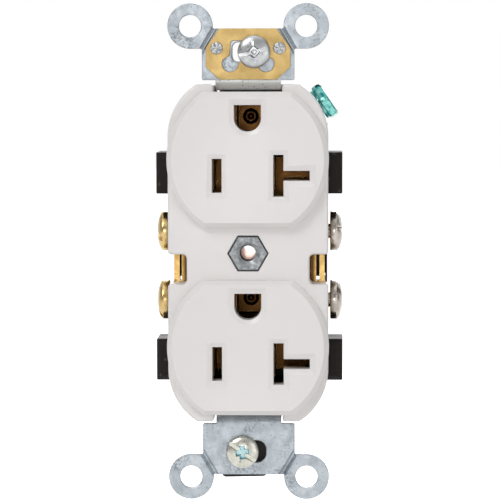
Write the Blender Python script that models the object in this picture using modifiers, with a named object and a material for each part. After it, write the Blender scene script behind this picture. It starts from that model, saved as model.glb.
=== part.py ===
"""Side-wired duplex wall outlet (20 A, 125 V, T-slot) with a wrap-around mounting strap.

Frame: +X is the neutral side, +Y points into the wall box and +Z is up. The origin is the
middle of the device in the rear plane of the strap's ears, which is the plane that seats on
the wall. Everything that carries current is centred on a line a little below the middle.
"""

import math

import bmesh
import bpy
from mathutils import Matrix, Vector

MM = 0.001

# --- Fits between pieces -------------------------------------------------------------------
FIT_GAP = 0.3 * MM  # between a moulding and what sits in it
REST_GAP = 0.15 * MM  # between two flat pieces clamped face to face
BORE_GAP = 0.25 * MM  # round a shank, all the way round
STEP = 0.1 * MM  # keeps the faces of joined pieces out of one plane
OVERCUT = 1.0 * MM  # how far a cutter runs on past the surface that it opens

# --- Standard spacings ---------------------------------------------------------------------
FACE_SPACING = 38.9 * MM  # between the centres of the two plug faces
BLADE_SPACING = 12.7 * MM  # between the hot and the neutral blade
GROUND_RISE = 11.9 * MM  # from the blade line up to the ground pin
BLADE_DROP = 3.3 * MM  # from a face's centre down to its blade line

# --- Depths, measured from the strap's seating plane ---------------------------------------
FACE_FRONT = -7.5 * MM
FACE_RISE = 2.6 * MM  # the plug faces stand this far in front of the middle surface
PARTING = 3.6 * MM  # where the cover ends and the body starts
BODY_BACK = 21.7 * MM
COVER_FRONT = FACE_FRONT + FACE_RISE

# --- Cover ---------------------------------------------------------------------------------
COVER_HEIGHT = 70.0 * MM
COVER_WIDTH = 33.2 * MM
COVER_CORNER_RADIUS = 13.1 * MM
COVER_FLAT = 21.2 * MM  # straight part of the top and bottom edges
COVER_FRONT_WALL = 2.4 * MM
FACE_ROOT = 1.5 * MM  # how deep a plug face is set into the front wall
FACE_DIAMETER = 33.5 * MM
FACE_HEIGHT = 28.0 * MM
FACE_CHAMFER = 0.9 * MM
STRAP_NOTCH_DEPTH = 1.66 * MM
FIN_NOTCH_HEIGHT = 6.2 * MM
FIN_NOTCH_DEPTH = 3.9 * MM
FIN_NOTCH_RADIUS = 0.9 * MM
CORNER_STEPS = 10

# --- Plug slots ----------------------------------------------------------------------------
HOT_SLOT = (2.0 * MM, 7.0 * MM)
NEUTRAL_SLOT = (2.1 * MM, 8.6 * MM)
NEUTRAL_BAR = (5.4 * MM, 2.05 * MM)
GROUND_RADIUS = 2.79 * MM
GROUND_FLAT_RISE = 2.65 * MM
BLADE_POCKET_MARGIN = 0.6 * MM  # room behind the front wall past the end of the longest slot

# --- Mounting screws -----------------------------------------------------------------------
MOUNT_BEYOND_END = 6.65 * MM  # from the housing's end out to a mounting screw
MOUNT_SCREW_HEAD_RADIUS = 3.4 * MM
MOUNT_SCREW_HEAD_HEIGHT = 1.9 * MM
MOUNT_SCREW_SHANK_RADIUS = 1.7 * MM
MOUNT_SCREW_LENGTH = 19.0 * MM
SCREW_POINT = 0.5 * MM  # chamfer at a screw's end
DOME_RIM = 0.45  # share of a domed head's height that is its straight rim
MOUNT_SCREW_OFFSETS = {"upper": 1.25 * MM, "lower": -1.3 * MM}  # across, in the slots
MOUNT_SCREW_SLOT = (1.1 * MM, 0.9 * MM)  # width and depth of the driver slot
MOUNT_SCREW_TURNS = {"upper": math.radians(15), "lower": math.radians(-35)}

# --- Strap ---------------------------------------------------------------------------------
STRAP_THICKNESS = 1.2 * MM
STRAP_NECK_WIDTH = 13.6 * MM
STRAP_BEND_INNER = 1.0 * MM
STRAP_LEG_CLEARANCE = 0.36 * MM  # from the bottom of the cover's end notch to the leg
STRAP_BACK_RECESS = 0.1 * MM  # the strap lies this far inside the body's back
PLATE_WIDTH = 19.2 * MM
PLATE_BELOW = 5.85 * MM  # from a mounting screw down to where its plate begins
PLATE_ABOVE = 4.85 * MM  # and out to the plate's far edge
EAR_SPACING = 24.1 * MM
EAR_ABOVE = 5.35 * MM  # from a mounting screw out to the ears' centres
EAR_RADIUS = 4.72 * MM
EAR_HOLE_RADIUS = 2.3 * MM
SLOT_SIDE_GAPS = {"upper": 0.3 * MM, "lower": 0.6 * MM}  # past the shank, towards its side
SLOT_SHANK_GAPS = {"upper": BORE_GAP, "lower": 0.55 * MM}  # above and below the shank
SLOT_CORNERS = {"upper": 1.1 * MM, "lower": 1.85 * MM}
SCORE_WIDTH = 0.3 * MM  # grooves that let the ears be snapped off
SCORE_DEPTH = 0.25 * MM
SCORE_ENDS = ((7.2 * MM, 5.1 * MM), (9.9 * MM, 0.45 * MM))  # across, and past the screw

# --- Self-grounding clip -------------------------------------------------------------------
CLIP_THICKNESS = 0.5 * MM
CLIP_WIDTH = 17.5 * MM
CLIP_ABOVE = 4.85 * MM  # levels on the clip are measured from the upper mounting screw
CLIP_BELOW = 5.75 * MM
CLIP_CHAMFER_WIDTH = 2.8 * MM
CLIP_TOP_CHAMFER = 4.0 * MM
CLIP_BOTTOM_CHAMFER = 2.6 * MM
CLIP_OPENING_HALF = 3.7 * MM
CLIP_OPENING_ABOVE = 2.3 * MM
CLIP_SHOULDER_BELOW = 0.45 * MM
CLIP_LOBE_BELOW = 2.45 * MM
CLIP_LOBE_RADIUS = 1.7 * MM
CLIP_TONGUE_HALF = 1.9 * MM
CLIP_TONGUE_CORNER = 0.5 * MM
CLIP_RIVET_HALF_SPACING = 6.5 * MM
CLIP_RIVET_ABOVE = 0.75 * MM
CLIP_RIVET_HEAD_RADIUS = 1.3 * MM
CLIP_RIVET_SHANK_RADIUS = 0.8 * MM
CLIP_RIVET_HEAD_HEIGHT = 0.5 * MM
CLIP_RIVET_TAIL = (1.3 * MM, 0.5 * MM)  # radius and depth of the upset, flush with the strap

# --- Retaining washer of the lower mounting screw -------------------------------------------
WASHER_SIZE = (9.5 * MM, 10.4 * MM)
WASHER_CORNER = 1.0 * MM
WASHER_THICKNESS = 0.8 * MM
WASHER_SHIFT = (0.25 * MM, -0.3 * MM)  # of its middle from the screw
WASHER_TURN = math.radians(1.2)

# --- Terminal screws -----------------------------------------------------------------------
TERMINAL_SPACING = 14.54 * MM
TERMINAL_DEPTH = 9.0 * MM  # the terminal screws' axes behind the seating plane
TERMINAL_HEAD_RADIUS = 4.15 * MM
TERMINAL_HEAD_HEIGHT = 2.5 * MM
TERMINAL_SHANK_RADIUS = 1.72 * MM
TERMINAL_SHANK_LENGTH = 5.2 * MM
TERMINAL_HEAD_STANDOFF = 1.1 * MM  # room for a wire between the plate and the head
TERMINAL_SLOT = (1.3 * MM, 1.1 * MM)  # width and depth of the driver slot
TERMINAL_TURNS = {
    ("hot", "upper"): math.radians(70),
    ("hot", "lower"): math.radians(35),
    ("neutral", "upper"): math.radians(70),
    ("neutral", "lower"): math.radians(55),
}

# --- Contact strips ------------------------------------------------------------------------
STRIP_THICKNESS = 0.8 * MM
STRIP_OUTER_FACE = 15.9 * MM  # the terminal plates' outer faces from the middle plane
TERMINAL_PLATE_HEIGHT = 9.2 * MM
TERMINAL_PLATE_FRONT = 3.9 * MM
STRIP_BASE_DEPTH = 15.2 * MM  # front surface of the strips' bases
BASE_START = 4.9 * MM  # from the electrical centre to where a strip's base begins
LINK_LAP = 1.0 * MM  # how far the link to a terminal plate laps onto the base
FIN_INNER = 12.9 * MM  # the fins' inner edges from the middle plane
FIN_LAP = 0.8 * MM  # how far a fin laps onto each terminal plate
FIN_SLIT_CENTRE = 14.4 * MM
FIN_SLIT_WIDTHS = {"hot": 0.45 * MM, "neutral": 0.7 * MM}
FIN_SLIT_MARGIN = 0.57 * MM  # metal left past each end of a slit
FIN_SLIT_CORNER = 0.2 * MM
LEAF_THICKNESS = 0.6 * MM
LEAF_GAP = 1.8 * MM  # clear space between a pair of leaves, for a 1.5 mm blade
LEAF_HALF_HEIGHT = 3.1 * MM
LEAF_FRONT = -1.0 * MM
BAR_CONTACT_LENGTH = 4.2 * MM

# --- Ground contacts -----------------------------------------------------------------------
GROUND_CLIP_GAP = 5.0 * MM  # clear space between the leaves, for a 4.8 mm pin
GROUND_CLIP_HALF_HEIGHT = 3.0 * MM
GROUND_BASE_DEPTH = 17.6 * MM
GROUND_RIVET_HEAD_RADIUS = 1.7 * MM
GROUND_RIVET_SHANK_RADIUS = 1.1 * MM
GROUND_RIVET_HEAD_HEIGHT = 0.6 * MM

# --- Ground screw and its tab --------------------------------------------------------------
GROUND_SCREW_TILT = math.radians(34.5)  # above the horizontal
GROUND_SCREW_CENTRE = (15.9 * MM, 31.4 * MM)  # middle of the head, across and up
GROUND_SCREW_DEPTH = 8.6 * MM
GROUND_HEAD_FLATS = 7.4 * MM
GROUND_HEAD_HEIGHT = 2.1 * MM
GROUND_COLLAR = (3.4 * MM, 0.6 * MM)  # radius and thickness
GROUND_SHANK_RADIUS = 1.95 * MM
GROUND_SHANK_LENGTH = 6.4 * MM
GROUND_TAB_GAP = 1.2 * MM  # from the head's underside to the tab
GROUND_TAB_WIDTH = 8.0 * MM
GROUND_TAB_REACH = 4.4 * MM  # past the screw's axis
GROUND_TAB_LAP = 1.0 * MM  # how far the tab laps onto the strap's leg
GROUND_SHANK_ROOM = 3.0 * MM  # past the end of the shank
GROUND_SCREW_SLOT = (1.2 * MM, 1.1 * MM)  # width and depth of the driver slot

# --- Body ----------------------------------------------------------------------------------
WING_REACH = 19.55 * MM
WING_START = 15.3 * MM  # from the electrical centre to a wing's near edge
WING_END = 24.0 * MM
WING_BACK = 17.2 * MM
WING_CHAMFER = 1.0 * MM
FIN_ROOM_DEPTH = 4.0 * MM  # space behind a fin
RECESS_FACE = 14.9 * MM  # side wall behind the terminal plates
POCKET_FLOOR = 16.4 * MM
GROUND_POCKET_FLOOR = 18.6 * MM
POCKET_INNER = 4.1 * MM
POCKET_OUTER = 13.6 * MM
GROUND_POCKET_HALF = 3.5 * MM
SIGHT_HOLE = 1.7 * MM  # small openings through the body behind the fins

# --- Bushing and assembly rivet ------------------------------------------------------------
BUSHING_FLATS = 7.0 * MM
BUSHING_BORE_RADIUS = 1.8 * MM
BUSHING_COUNTERSINK_RADIUS = 2.35 * MM
BUSHING_LENGTH = 7.5 * MM
BUSHING_SEAT_GAP = 0.2 * MM
BUSHING_SOCKET_DEPTH = 2.6 * MM  # in the back of the bushing, for the rivet
RIVET_TUBE_RADIUS = 2.05 * MM
RIVET_BORE_RADIUS = 1.6 * MM
RIVET_FLANGE_RADIUS = 3.2 * MM
RIVET_FLANGE_THICKNESS = 0.6 * MM

# --- Sizes worked out from the ones above --------------------------------------------------
ELECTRICAL_CENTRE = -BLADE_DROP
FACE_LEVELS = {"upper": FACE_SPACING / 2, "lower": -FACE_SPACING / 2}
BLADE_LEVELS = {end: level - BLADE_DROP for end, level in FACE_LEVELS.items()}
GROUND_LEVELS = {end: level + GROUND_RISE for end, level in BLADE_LEVELS.items()}
END_SIGN = {"upper": 1, "lower": -1}
MOUNT_LEVEL = COVER_HEIGHT / 2 + MOUNT_BEYOND_END
STRAP_FRONT = -STRAP_THICKNESS
TERMINAL_SHANK_END = STRIP_OUTER_FACE + TERMINAL_HEAD_STANDOFF - TERMINAL_SHANK_LENGTH
CLIP_BACK = STRAP_FRONT - REST_GAP
CLIP_FRONT = CLIP_BACK - CLIP_THICKNESS
LEG_INNER = COVER_HEIGHT / 2 - STRAP_NOTCH_DEPTH + STRAP_LEG_CLEARANCE
LEG_OUTER = LEG_INNER + STRAP_THICKNESS
STRAP_BACK_OUTER = BODY_BACK - STRAP_BACK_RECESS
STRAP_BACK_INNER = STRAP_BACK_OUTER - STRAP_THICKNESS
BLADE_POCKET_HALF = NEUTRAL_SLOT[1] / 2 + BLADE_POCKET_MARGIN
CUT_PAST_SIDES = COVER_WIDTH  # an X or Z far outside the housing
ROUND_STEPS = 24
FINE_STEPS = 16
BEND_STEPS = 6

MATERIALS = {
    "white_nylon": ((0.80, 0.79, 0.76), 0.42, 0.0),
    "black_moulding": ((0.020, 0.016, 0.014), 0.45, 0.0),
    "galvanised_steel": ((0.48, 0.52, 0.55), 0.42, 1.0),
    "brass": ((0.66, 0.47, 0.18), 0.34, 1.0),
    "zinc_plated_steel": ((0.62, 0.64, 0.64), 0.30, 1.0),
    "nickel_plate": ((0.55, 0.50, 0.45), 0.28, 1.0),
    "green_ground_finish": ((0.06, 0.42, 0.36), 0.30, 0.6),
    "cast_zinc": ((0.30, 0.32, 0.33), 0.48, 1.0),
    "copper_plate": ((0.62, 0.34, 0.22), 0.34, 1.0),
    "black_fibre": ((0.018, 0.017, 0.016), 0.85, 0.0),
}


# --- Scene and materials -------------------------------------------------------------------
def clear_scene():
    for old in list(bpy.data.objects):
        bpy.data.objects.remove(old, do_unlink=True)


def new_collection(name):
    made = bpy.data.collections.new(name)
    bpy.context.scene.collection.children.link(made)
    return made


def material(name):
    found = bpy.data.materials.get(name)
    if found:
        return found
    colour, roughness, metallic = MATERIALS[name]
    made = bpy.data.materials.new(name)
    made.use_nodes = True
    shader = made.node_tree.nodes["Principled BSDF"]
    shader.inputs["Base Color"].default_value = (*colour, 1.0)
    shader.inputs["Roughness"].default_value = roughness
    shader.inputs["Metallic"].default_value = metallic
    return made


def add_object(name, mesh, collection):
    made = bpy.data.objects.new(name, mesh)
    collection.objects.link(made)
    return made


def finish_part(obj, finish):
    """Gives a part its material and its smooth shading."""
    obj.data.materials.clear()
    obj.data.materials.append(material(finish))
    obj.data.shade_smooth()
    obj.data.set_sharp_from_angle(angle=math.radians(30))
    return obj


# --- Outlines: lists of (across, up) points ------------------------------------------------
def arc(centre, radius, start, end, steps=CORNER_STEPS):
    """Points from start to end, in degrees, both included."""
    angles = [math.radians(start + (end - start) * i / steps) for i in range(steps + 1)]
    return [
        (centre[0] + radius * math.cos(a), centre[1] + radius * math.sin(a))
        for a in angles
    ]


def circle(centre, radius, steps=ROUND_STEPS):
    return arc(centre, radius, 0, 360 - 360 / steps, steps - 1)


def rectangle(x0, x1, z0, z1):
    return [(x0, z0), (x1, z0), (x1, z1), (x0, z1)]


def rounded_rectangle(x0, x1, z0, z1, radius, steps=4):
    return (
        arc((x1 - radius, z0 + radius), radius, -90, 0, steps)
        + arc((x1 - radius, z1 - radius), radius, 0, 90, steps)
        + arc((x0 + radius, z1 - radius), radius, 90, 180, steps)
        + arc((x0 + radius, z0 + radius), radius, 180, 270, steps)
    )


def mirrored(half):
    """A right-hand half from bottom to top, closed by its own mirror image."""
    return half + [(-x, z) for x, z in reversed(half)]


# --- Solids --------------------------------------------------------------------------------
def weld(mesh):
    """Merges the loose caps of a filled curve and turns every face outward."""
    work = bmesh.new()
    work.from_mesh(mesh)
    bmesh.ops.remove_doubles(work, verts=work.verts, dist=1e-6)
    bmesh.ops.dissolve_degenerate(work, edges=work.edges, dist=1e-7)
    bmesh.ops.recalc_face_normals(work, faces=work.faces)
    work.to_mesh(mesh)
    work.free()


# How an outline's own axes lie for each direction of extrusion: (x, z), (y, z) or (x, y).
STANDING = {
    "Y": Matrix(((1, 0, 0, 0), (0, 0, -1, 0), (0, 1, 0, 0), (0, 0, 0, 1))),
    "X": Matrix(((0, 0, 1, 0), (1, 0, 0, 0), (0, 1, 0, 0), (0, 0, 0, 1))),
    "Z": Matrix.Identity(4),
}


def extruded(name, outlines, near, far, collection, along="Y"):
    """An outline, with any holes after it, extruded from near to far along an axis."""
    curve = bpy.data.curves.new(name + "_outline", "CURVE")
    curve.dimensions = "2D"
    curve.fill_mode = "BOTH"
    curve.extrude = (far - near) / 2
    for outline in outlines:
        spline = curve.splines.new("POLY")
        spline.points.add(len(outline) - 1)
        for point, (u, v) in zip(spline.points, outline, strict=True):
            point.co = (u, v, 0, 1)
        spline.use_cyclic_u = True
    flat = bpy.data.objects.new(name + "_flat", curve)
    collection.objects.link(flat)
    middle = Vector([(near + far) / 2 if axis == along else 0 for axis in "XYZ"])
    flat.matrix_world = Matrix.Translation(middle) @ STANDING[along]
    bpy.context.view_layer.update()
    evaluated = flat.evaluated_get(bpy.context.evaluated_depsgraph_get())
    mesh = bpy.data.meshes.new_from_object(evaluated)
    mesh.name = name
    weld(mesh)
    made = add_object(name, mesh, collection)
    made.matrix_world = flat.matrix_world
    bpy.data.objects.remove(flat, do_unlink=True)
    bpy.data.curves.remove(curve)
    return made


def block(name, low, high, collection):
    """A box between two corners."""
    mesh = bpy.data.meshes.new(name)
    work = bmesh.new()
    bmesh.ops.create_cube(work, size=1.0)
    size = [h - l for l, h in zip(low, high, strict=True)]
    bmesh.ops.scale(work, vec=size, verts=work.verts)
    work.to_mesh(mesh)
    work.free()
    made = add_object(name, mesh, collection)
    made.location = [(l + h) / 2 for l, h in zip(low, high, strict=True)]
    return made


def block_between(name, corner, opposite, collection):
    """A box between two opposite corners, given in either order."""
    low = [min(pair) for pair in zip(corner, opposite, strict=True)]
    high = [max(pair) for pair in zip(corner, opposite, strict=True)]
    return block(name, low, high, collection)


def point_along(obj, direction):
    """Turns an object so that its own +Z points along a direction."""
    obj.rotation_euler = Vector((0, 0, 1)).rotation_difference(direction).to_euler()


def rod(name, centre, direction, radius, length, collection, sides=ROUND_STEPS):
    """A cylinder, or a prism with few sides, centred on a point."""
    mesh = bpy.data.meshes.new(name)
    work = bmesh.new()
    bmesh.ops.create_cone(
        work, cap_ends=True, segments=sides, radius1=radius, radius2=radius, depth=length
    )
    work.to_mesh(mesh)
    work.free()
    made = add_object(name, mesh, collection)
    made.location = centre
    point_along(made, Vector(direction))
    return made


def bore_along_y(name, level, shank_radius, near, far, collection, sides=ROUND_STEPS):
    """A hole round a shank on the middle line, with its clearance."""
    middle = (0, (near + far) / 2, level)
    radius = shank_radius + BORE_GAP
    return rod(name, middle, (0, 1, 0), radius, far - near, collection, sides)


def turned(name, profile, centre, direction, collection, closed=False, steps=ROUND_STEPS):
    """A profile of (radius, height) points, top to bottom, turned about its axis."""
    mesh = bpy.data.meshes.new(name)
    edges = [(i, i + 1) for i in range(len(profile) - 1)]
    if closed:
        edges.append((len(profile) - 1, 0))
    mesh.from_pydata([(r, 0, h) for r, h in profile], edges, [])
    made = add_object(name, mesh, collection)
    screw = made.modifiers.new("Turn", "SCREW")
    screw.steps = steps
    screw.render_steps = steps
    screw.use_merge_vertices = True
    screw.merge_threshold = 1e-6
    made.location = centre
    point_along(made, Vector(direction))
    return made


def operand(obj):
    """Marks an object as something that only shapes another one."""
    obj.hide_render = True
    obj.display_type = "WIRE"
    return obj


def combine(target, other, operation):
    step = target.modifiers.new(other.name, "BOOLEAN")
    step.operation = operation
    step.object = operand(other)
    return target


def cut(target, other):
    return combine(target, other, "DIFFERENCE")


def join(target, other):
    return combine(target, other, "UNION")


def bevel(obj, width, angle=50):
    step = obj.modifiers.new("Edges", "BEVEL")
    step.width = width
    step.segments = 1
    step.limit_method = "ANGLE"
    step.angle_limit = math.radians(angle)
    return obj


# --- Shared outlines -----------------------------------------------------------------------
def housing_outline(inset=0.0):
    """The cover's and the body's outer outline, without notches."""
    half_width = COVER_WIDTH / 2 - inset
    half_height = COVER_HEIGHT / 2 - inset
    radius = COVER_CORNER_RADIUS - inset
    corner_x = half_width - radius
    reach = min(1.0, (COVER_FLAT / 2 - corner_x) / radius)
    corner_z = half_height - radius * math.sqrt(1 - reach * reach)
    top_angle = math.degrees(math.acos(reach))
    lower = arc((corner_x, -corner_z), radius, -top_angle, 0)
    upper = arc((corner_x, corner_z), radius, 0, top_angle)
    return mirrored(lower + upper)


def fin_notch(side, near, far, name, collection):
    """The space over a break-off fin, open to the side of the housing."""
    edges = sorted((side * (COVER_WIDTH / 2 - FIN_NOTCH_DEPTH), side * CUT_PAST_SIDES))
    half = FIN_NOTCH_HEIGHT / 2
    outline = rounded_rectangle(
        *edges, ELECTRICAL_CENTRE - half, ELECTRICAL_CENTRE + half, FIN_NOTCH_RADIUS
    )
    return extruded(name, [outline], near, far, collection)


def ground_pin_outline(level, growth=0.0):
    radius = GROUND_RADIUS + growth
    top = level + GROUND_FLAT_RISE + growth
    return [(radius, top), (-radius, top)] + arc((0, level), radius, 180, 360, 14)


def neutral_slot_outline(level):
    """T shape: a tall slot with a short bar to its outer side."""
    width, height = NEUTRAL_SLOT
    bar_length, bar_height = NEUTRAL_BAR
    left = BLADE_SPACING / 2 - width / 2
    right = left + width
    end = right + bar_length
    return [
        (left, level - height / 2),
        (right, level - height / 2),
        (right, level - bar_height / 2),
        (end, level - bar_height / 2),
        (end, level + bar_height / 2),
        (right, level + bar_height / 2),
        (right, level + height / 2),
        (left, level + height / 2),
    ]


def strap_clearance(end, name, near, collection):
    """The notch in a housing's end that the strap's leg runs through."""
    half = STRAP_NECK_WIDTH / 2 + FIT_GAP
    sign = END_SIGN[end]
    bottom = COVER_HEIGHT / 2 - STRAP_NOTCH_DEPTH
    low, high = sorted((sign * bottom, sign * (COVER_HEIGHT / 2 + OVERCUT)))
    return block(name, (-half, near, low), (half, BODY_BACK + OVERCUT, high), collection)


# --- Housing -------------------------------------------------------------------------------
def contact_pockets(target, near, far, ground_far, label, collection):
    """Cuts the spaces for the two contact strips and the two ground clips."""
    for end, level in BLADE_LEVELS.items():
        sign = END_SIGN[end]
        inner_end = ELECTRICAL_CENTRE + sign * (BASE_START - FIT_GAP)
        outer_end = level + sign * BLADE_POCKET_HALF
        low, high = sorted((inner_end, outer_end))
        for side, half_name in ((-1, "hot"), (1, "neutral")):
            edges = sorted((side * POCKET_INNER, side * POCKET_OUTER))
            pocket = block(
                f"{label}_{half_name}_pocket_{end}",
                (edges[0], near, low),
                (edges[1], far, high),
                collection,
            )
            cut(target, pocket)
    for end, level in GROUND_LEVELS.items():
        half_height = GROUND_CLIP_HALF_HEIGHT + FIT_GAP
        pocket = block(
            f"{label}_ground_pocket_{end}",
            (-GROUND_POCKET_HALF, near, level - half_height),
            (GROUND_POCKET_HALF, ground_far, level + half_height),
            collection,
        )
        cut(target, pocket)


def make_cover(parts, cutters):
    cover = extruded("front_cover", [housing_outline()], COVER_FRONT, PARTING, parts)
    arc_half = math.degrees(math.asin(FACE_HEIGHT / FACE_DIAMETER))
    for end, level in FACE_LEVELS.items():
        right = arc((0, level), FACE_DIAMETER / 2, -arc_half, arc_half, 18)
        face = extruded(
            f"plug_face_{end}", [mirrored(right)], FACE_FRONT, COVER_FRONT + FACE_ROOT, cutters
        )
        join(cover, bevel(face, FACE_CHAMFER))
    through = (FACE_FRONT - OVERCUT, PARTING + OVERCUT)
    pocket_front = COVER_FRONT + COVER_FRONT_WALL
    contact_pockets(cover, pocket_front, through[1], through[1], "cover", cutters)
    for end, level in BLADE_LEVELS.items():
        width, height = HOT_SLOT
        centre = -BLADE_SPACING / 2
        hot = rectangle(
            centre - width / 2, centre + width / 2, level - height / 2, level + height / 2
        )
        cut(cover, extruded(f"hot_slot_{end}", [hot], *through, cutters))
        neutral = neutral_slot_outline(level)
        cut(cover, extruded(f"neutral_slot_{end}", [neutral], *through, cutters))
    for end, level in GROUND_LEVELS.items():
        pin = ground_pin_outline(level)
        cut(cover, extruded(f"ground_hole_{end}", [pin], *through, cutters))
        cut(cover, strap_clearance(end, f"cover_strap_notch_{end}", through[0], cutters))
    for side, label in ((-1, "hot"), (1, "neutral")):
        cut(cover, fin_notch(side, *through, f"{label}_fin_notch", cutters))
    seat = rod(
        "bushing_seat",
        (0, COVER_FRONT, 0),
        (0, 1, 0),
        (BUSHING_FLATS / 2 + BUSHING_SEAT_GAP) / math.cos(math.pi / 6),
        2 * (BUSHING_LENGTH + FIT_GAP),
        cutters,
        sides=6,
    )
    seat.data.transform(Matrix.Rotation(math.pi / 6, 4, "Z"))
    cut(cover, seat)
    cut(cover, bore_along_y("cover_rivet_bore", 0, RIVET_TUBE_RADIUS, 0, through[1], cutters))
    return finish_part(cover, "white_nylon")


def wing(side, end, collection):
    """A guard between a terminal screw and the end of the body."""
    sign = END_SIGN[end]
    near, far = ELECTRICAL_CENTRE + sign * WING_START, ELECTRICAL_CENTRE + sign * WING_END
    low, high = sorted((near, far))
    reach = sorted((side * POCKET_OUTER, side * WING_REACH))
    made = block(
        f"wing_{'hot' if side < 0 else 'neutral'}_{end}",
        (reach[0], PARTING, low),
        (reach[1], WING_BACK, high),
        collection,
    )
    return bevel(made, WING_CHAMFER)


def make_body(parts, cutters):
    body = extruded(
        "back_body", [housing_outline()], PARTING + REST_GAP, BODY_BACK, parts
    )
    inner = RECESS_FACE + FIT_GAP
    past_back = BODY_BACK + OVERCUT
    for side, label in ((-1, "hot"), (1, "neutral")):
        for end in END_SIGN:
            guard = wing(side, end, cutters)
            guard.location.y += REST_GAP
            join(body, guard)
        edges = sorted((side * inner, side * CUT_PAST_SIDES))
        recess = block(
            f"{label}_terminal_recess",
            (edges[0], 0, ELECTRICAL_CENTRE - WING_START),
            (edges[1], WING_BACK, ELECTRICAL_CENTRE + WING_START),
            cutters,
        )
        cut(body, recess)
        floor = sorted((side * (FIN_INNER - FIT_GAP), side * WING_REACH))
        half_fin = FIN_NOTCH_HEIGHT / 2 + FIT_GAP
        fin_room = block(
            f"{label}_fin_room",
            (floor[0], 0, ELECTRICAL_CENTRE - half_fin),
            (floor[1], TERMINAL_PLATE_FRONT + FIN_ROOM_DEPTH, ELECTRICAL_CENTRE + half_fin),
            cutters,
        )
        cut(body, fin_room)
        sight_x = sorted((side * (RECESS_FACE - SIGHT_HOLE), side * (RECESS_FACE + OVERCUT)))
        sight_low = ELECTRICAL_CENTRE - FIN_NOTCH_HEIGHT / 2 - SIGHT_HOLE / 2
        sight = block(
            f"{label}_sight_hole",
            (sight_x[0], 0, sight_low),
            (sight_x[1], BODY_BACK + OVERCUT, sight_low + SIGHT_HOLE),
            cutters,
        )
        cut(body, sight)
        for end, sign in END_SIGN.items():
            near_z = ELECTRICAL_CENTRE + sign * (TERMINAL_SPACING / 2 - TERMINAL_PLATE_HEIGHT / 2)
            far_z = near_z + sign * TERMINAL_PLATE_HEIGHT
            low, high = sorted((near_z - sign * FIT_GAP, far_z + sign * FIT_GAP))
            window_x = sorted((side * (TERMINAL_SHANK_END - FIT_GAP), side * WING_REACH))
            window = block(
                f"{label}_terminal_window_{end}",
                (window_x[0], 0, low),
                (window_x[1], POCKET_FLOOR, high),
                cutters,
            )
            cut(body, window)
    contact_pockets(body, 0, POCKET_FLOOR, GROUND_POCKET_FLOOR, "body", cutters)
    for end, level in GROUND_LEVELS.items():
        cut(body, strap_clearance(end, f"body_strap_notch_{end}", 0, cutters))
        hole = bore_along_y(
            f"body_rivet_hole_{end}", level, GROUND_RIVET_SHANK_RADIUS, 0, past_back, cutters
        )
        cut(body, hole)
    half = STRAP_NECK_WIDTH / 2 + FIT_GAP
    channel = block(
        "strap_channel",
        (-half, STRAP_BACK_INNER - FIT_GAP, -COVER_HEIGHT),
        (half, past_back, COVER_HEIGHT),
        cutters,
    )
    cut(body, channel)
    cut(body, bore_along_y("body_rivet_bore", 0, RIVET_TUBE_RADIUS, 0, past_back, cutters))
    cut(body, ground_tab_room(cutters))
    return finish_part(body, "black_moulding")


# --- Strap ---------------------------------------------------------------------------------
def strap_profile():
    """The wrapped strip's section as (y, z) points, from one bend round to the other."""
    inner = STRAP_BEND_INNER
    outer = inner + STRAP_THICKNESS
    front_bend = (STRAP_FRONT + outer, LEG_INNER + outer)
    back_bend = (STRAP_BACK_OUTER - outer, LEG_OUTER - outer)
    overlap = max(MOUNT_LEVEL - PLATE_BELOW, front_bend[1]) + OVERCUT
    body_side = (
        [(STRAP_FRONT, overlap)]
        + arc(front_bend, outer, 180, 270, BEND_STEPS)
        + arc(back_bend, inner, 90, 0, BEND_STEPS)
    )
    far_side = (
        [(0.0, overlap)]
        + arc(front_bend, inner, 180, 270, BEND_STEPS)
        + arc(back_bend, outer, 90, 0, BEND_STEPS)
    )
    body_side += [(y, -z) for y, z in reversed(body_side)]
    far_side += [(y, -z) for y, z in reversed(far_side)]
    return body_side + far_side[::-1]


def plate_outline(sign):
    """One end plate with its two ears, in the plane of the wall."""
    half = PLATE_WIDTH / 2
    ear_x = EAR_SPACING / 2
    ear_level = MOUNT_LEVEL + EAR_ABOVE
    meet = math.degrees(math.asin((EAR_ABOVE - PLATE_ABOVE) / EAR_RADIUS))
    ear = arc((ear_x, ear_level), EAR_RADIUS, -90, 180 + meet, 26)
    right = [(half, MOUNT_LEVEL - PLATE_BELOW), (half, ear_level - EAR_RADIUS)] + ear
    outline = mirrored(right)
    return [(x, sign * z) for x, z in outline]


def score_line(side, sign, face, name, collection):
    """A shallow groove across the root of an ear, centred on one face of the plate."""
    (x0, z0), (x1, z1) = ((x, MOUNT_LEVEL + z) for x, z in SCORE_ENDS)
    length = math.hypot(x1 - x0, z1 - z0) + 2 * SCORE_WIDTH
    half = Vector((length, SCORE_WIDTH, 2 * SCORE_DEPTH)) / 2
    groove = block(name, -half, half, collection)
    across, up = side * (x0 + x1) / 2, sign * (z0 + z1) / 2
    lean = math.atan2(sign * (z1 - z0), side * (x1 - x0))
    groove.location = (across, face, up)
    groove.rotation_euler = (
        Matrix.Rotation(-lean, 4, "Y") @ Matrix.Rotation(math.pi / 2, 4, "X")
    ).to_euler()
    return groove


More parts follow.
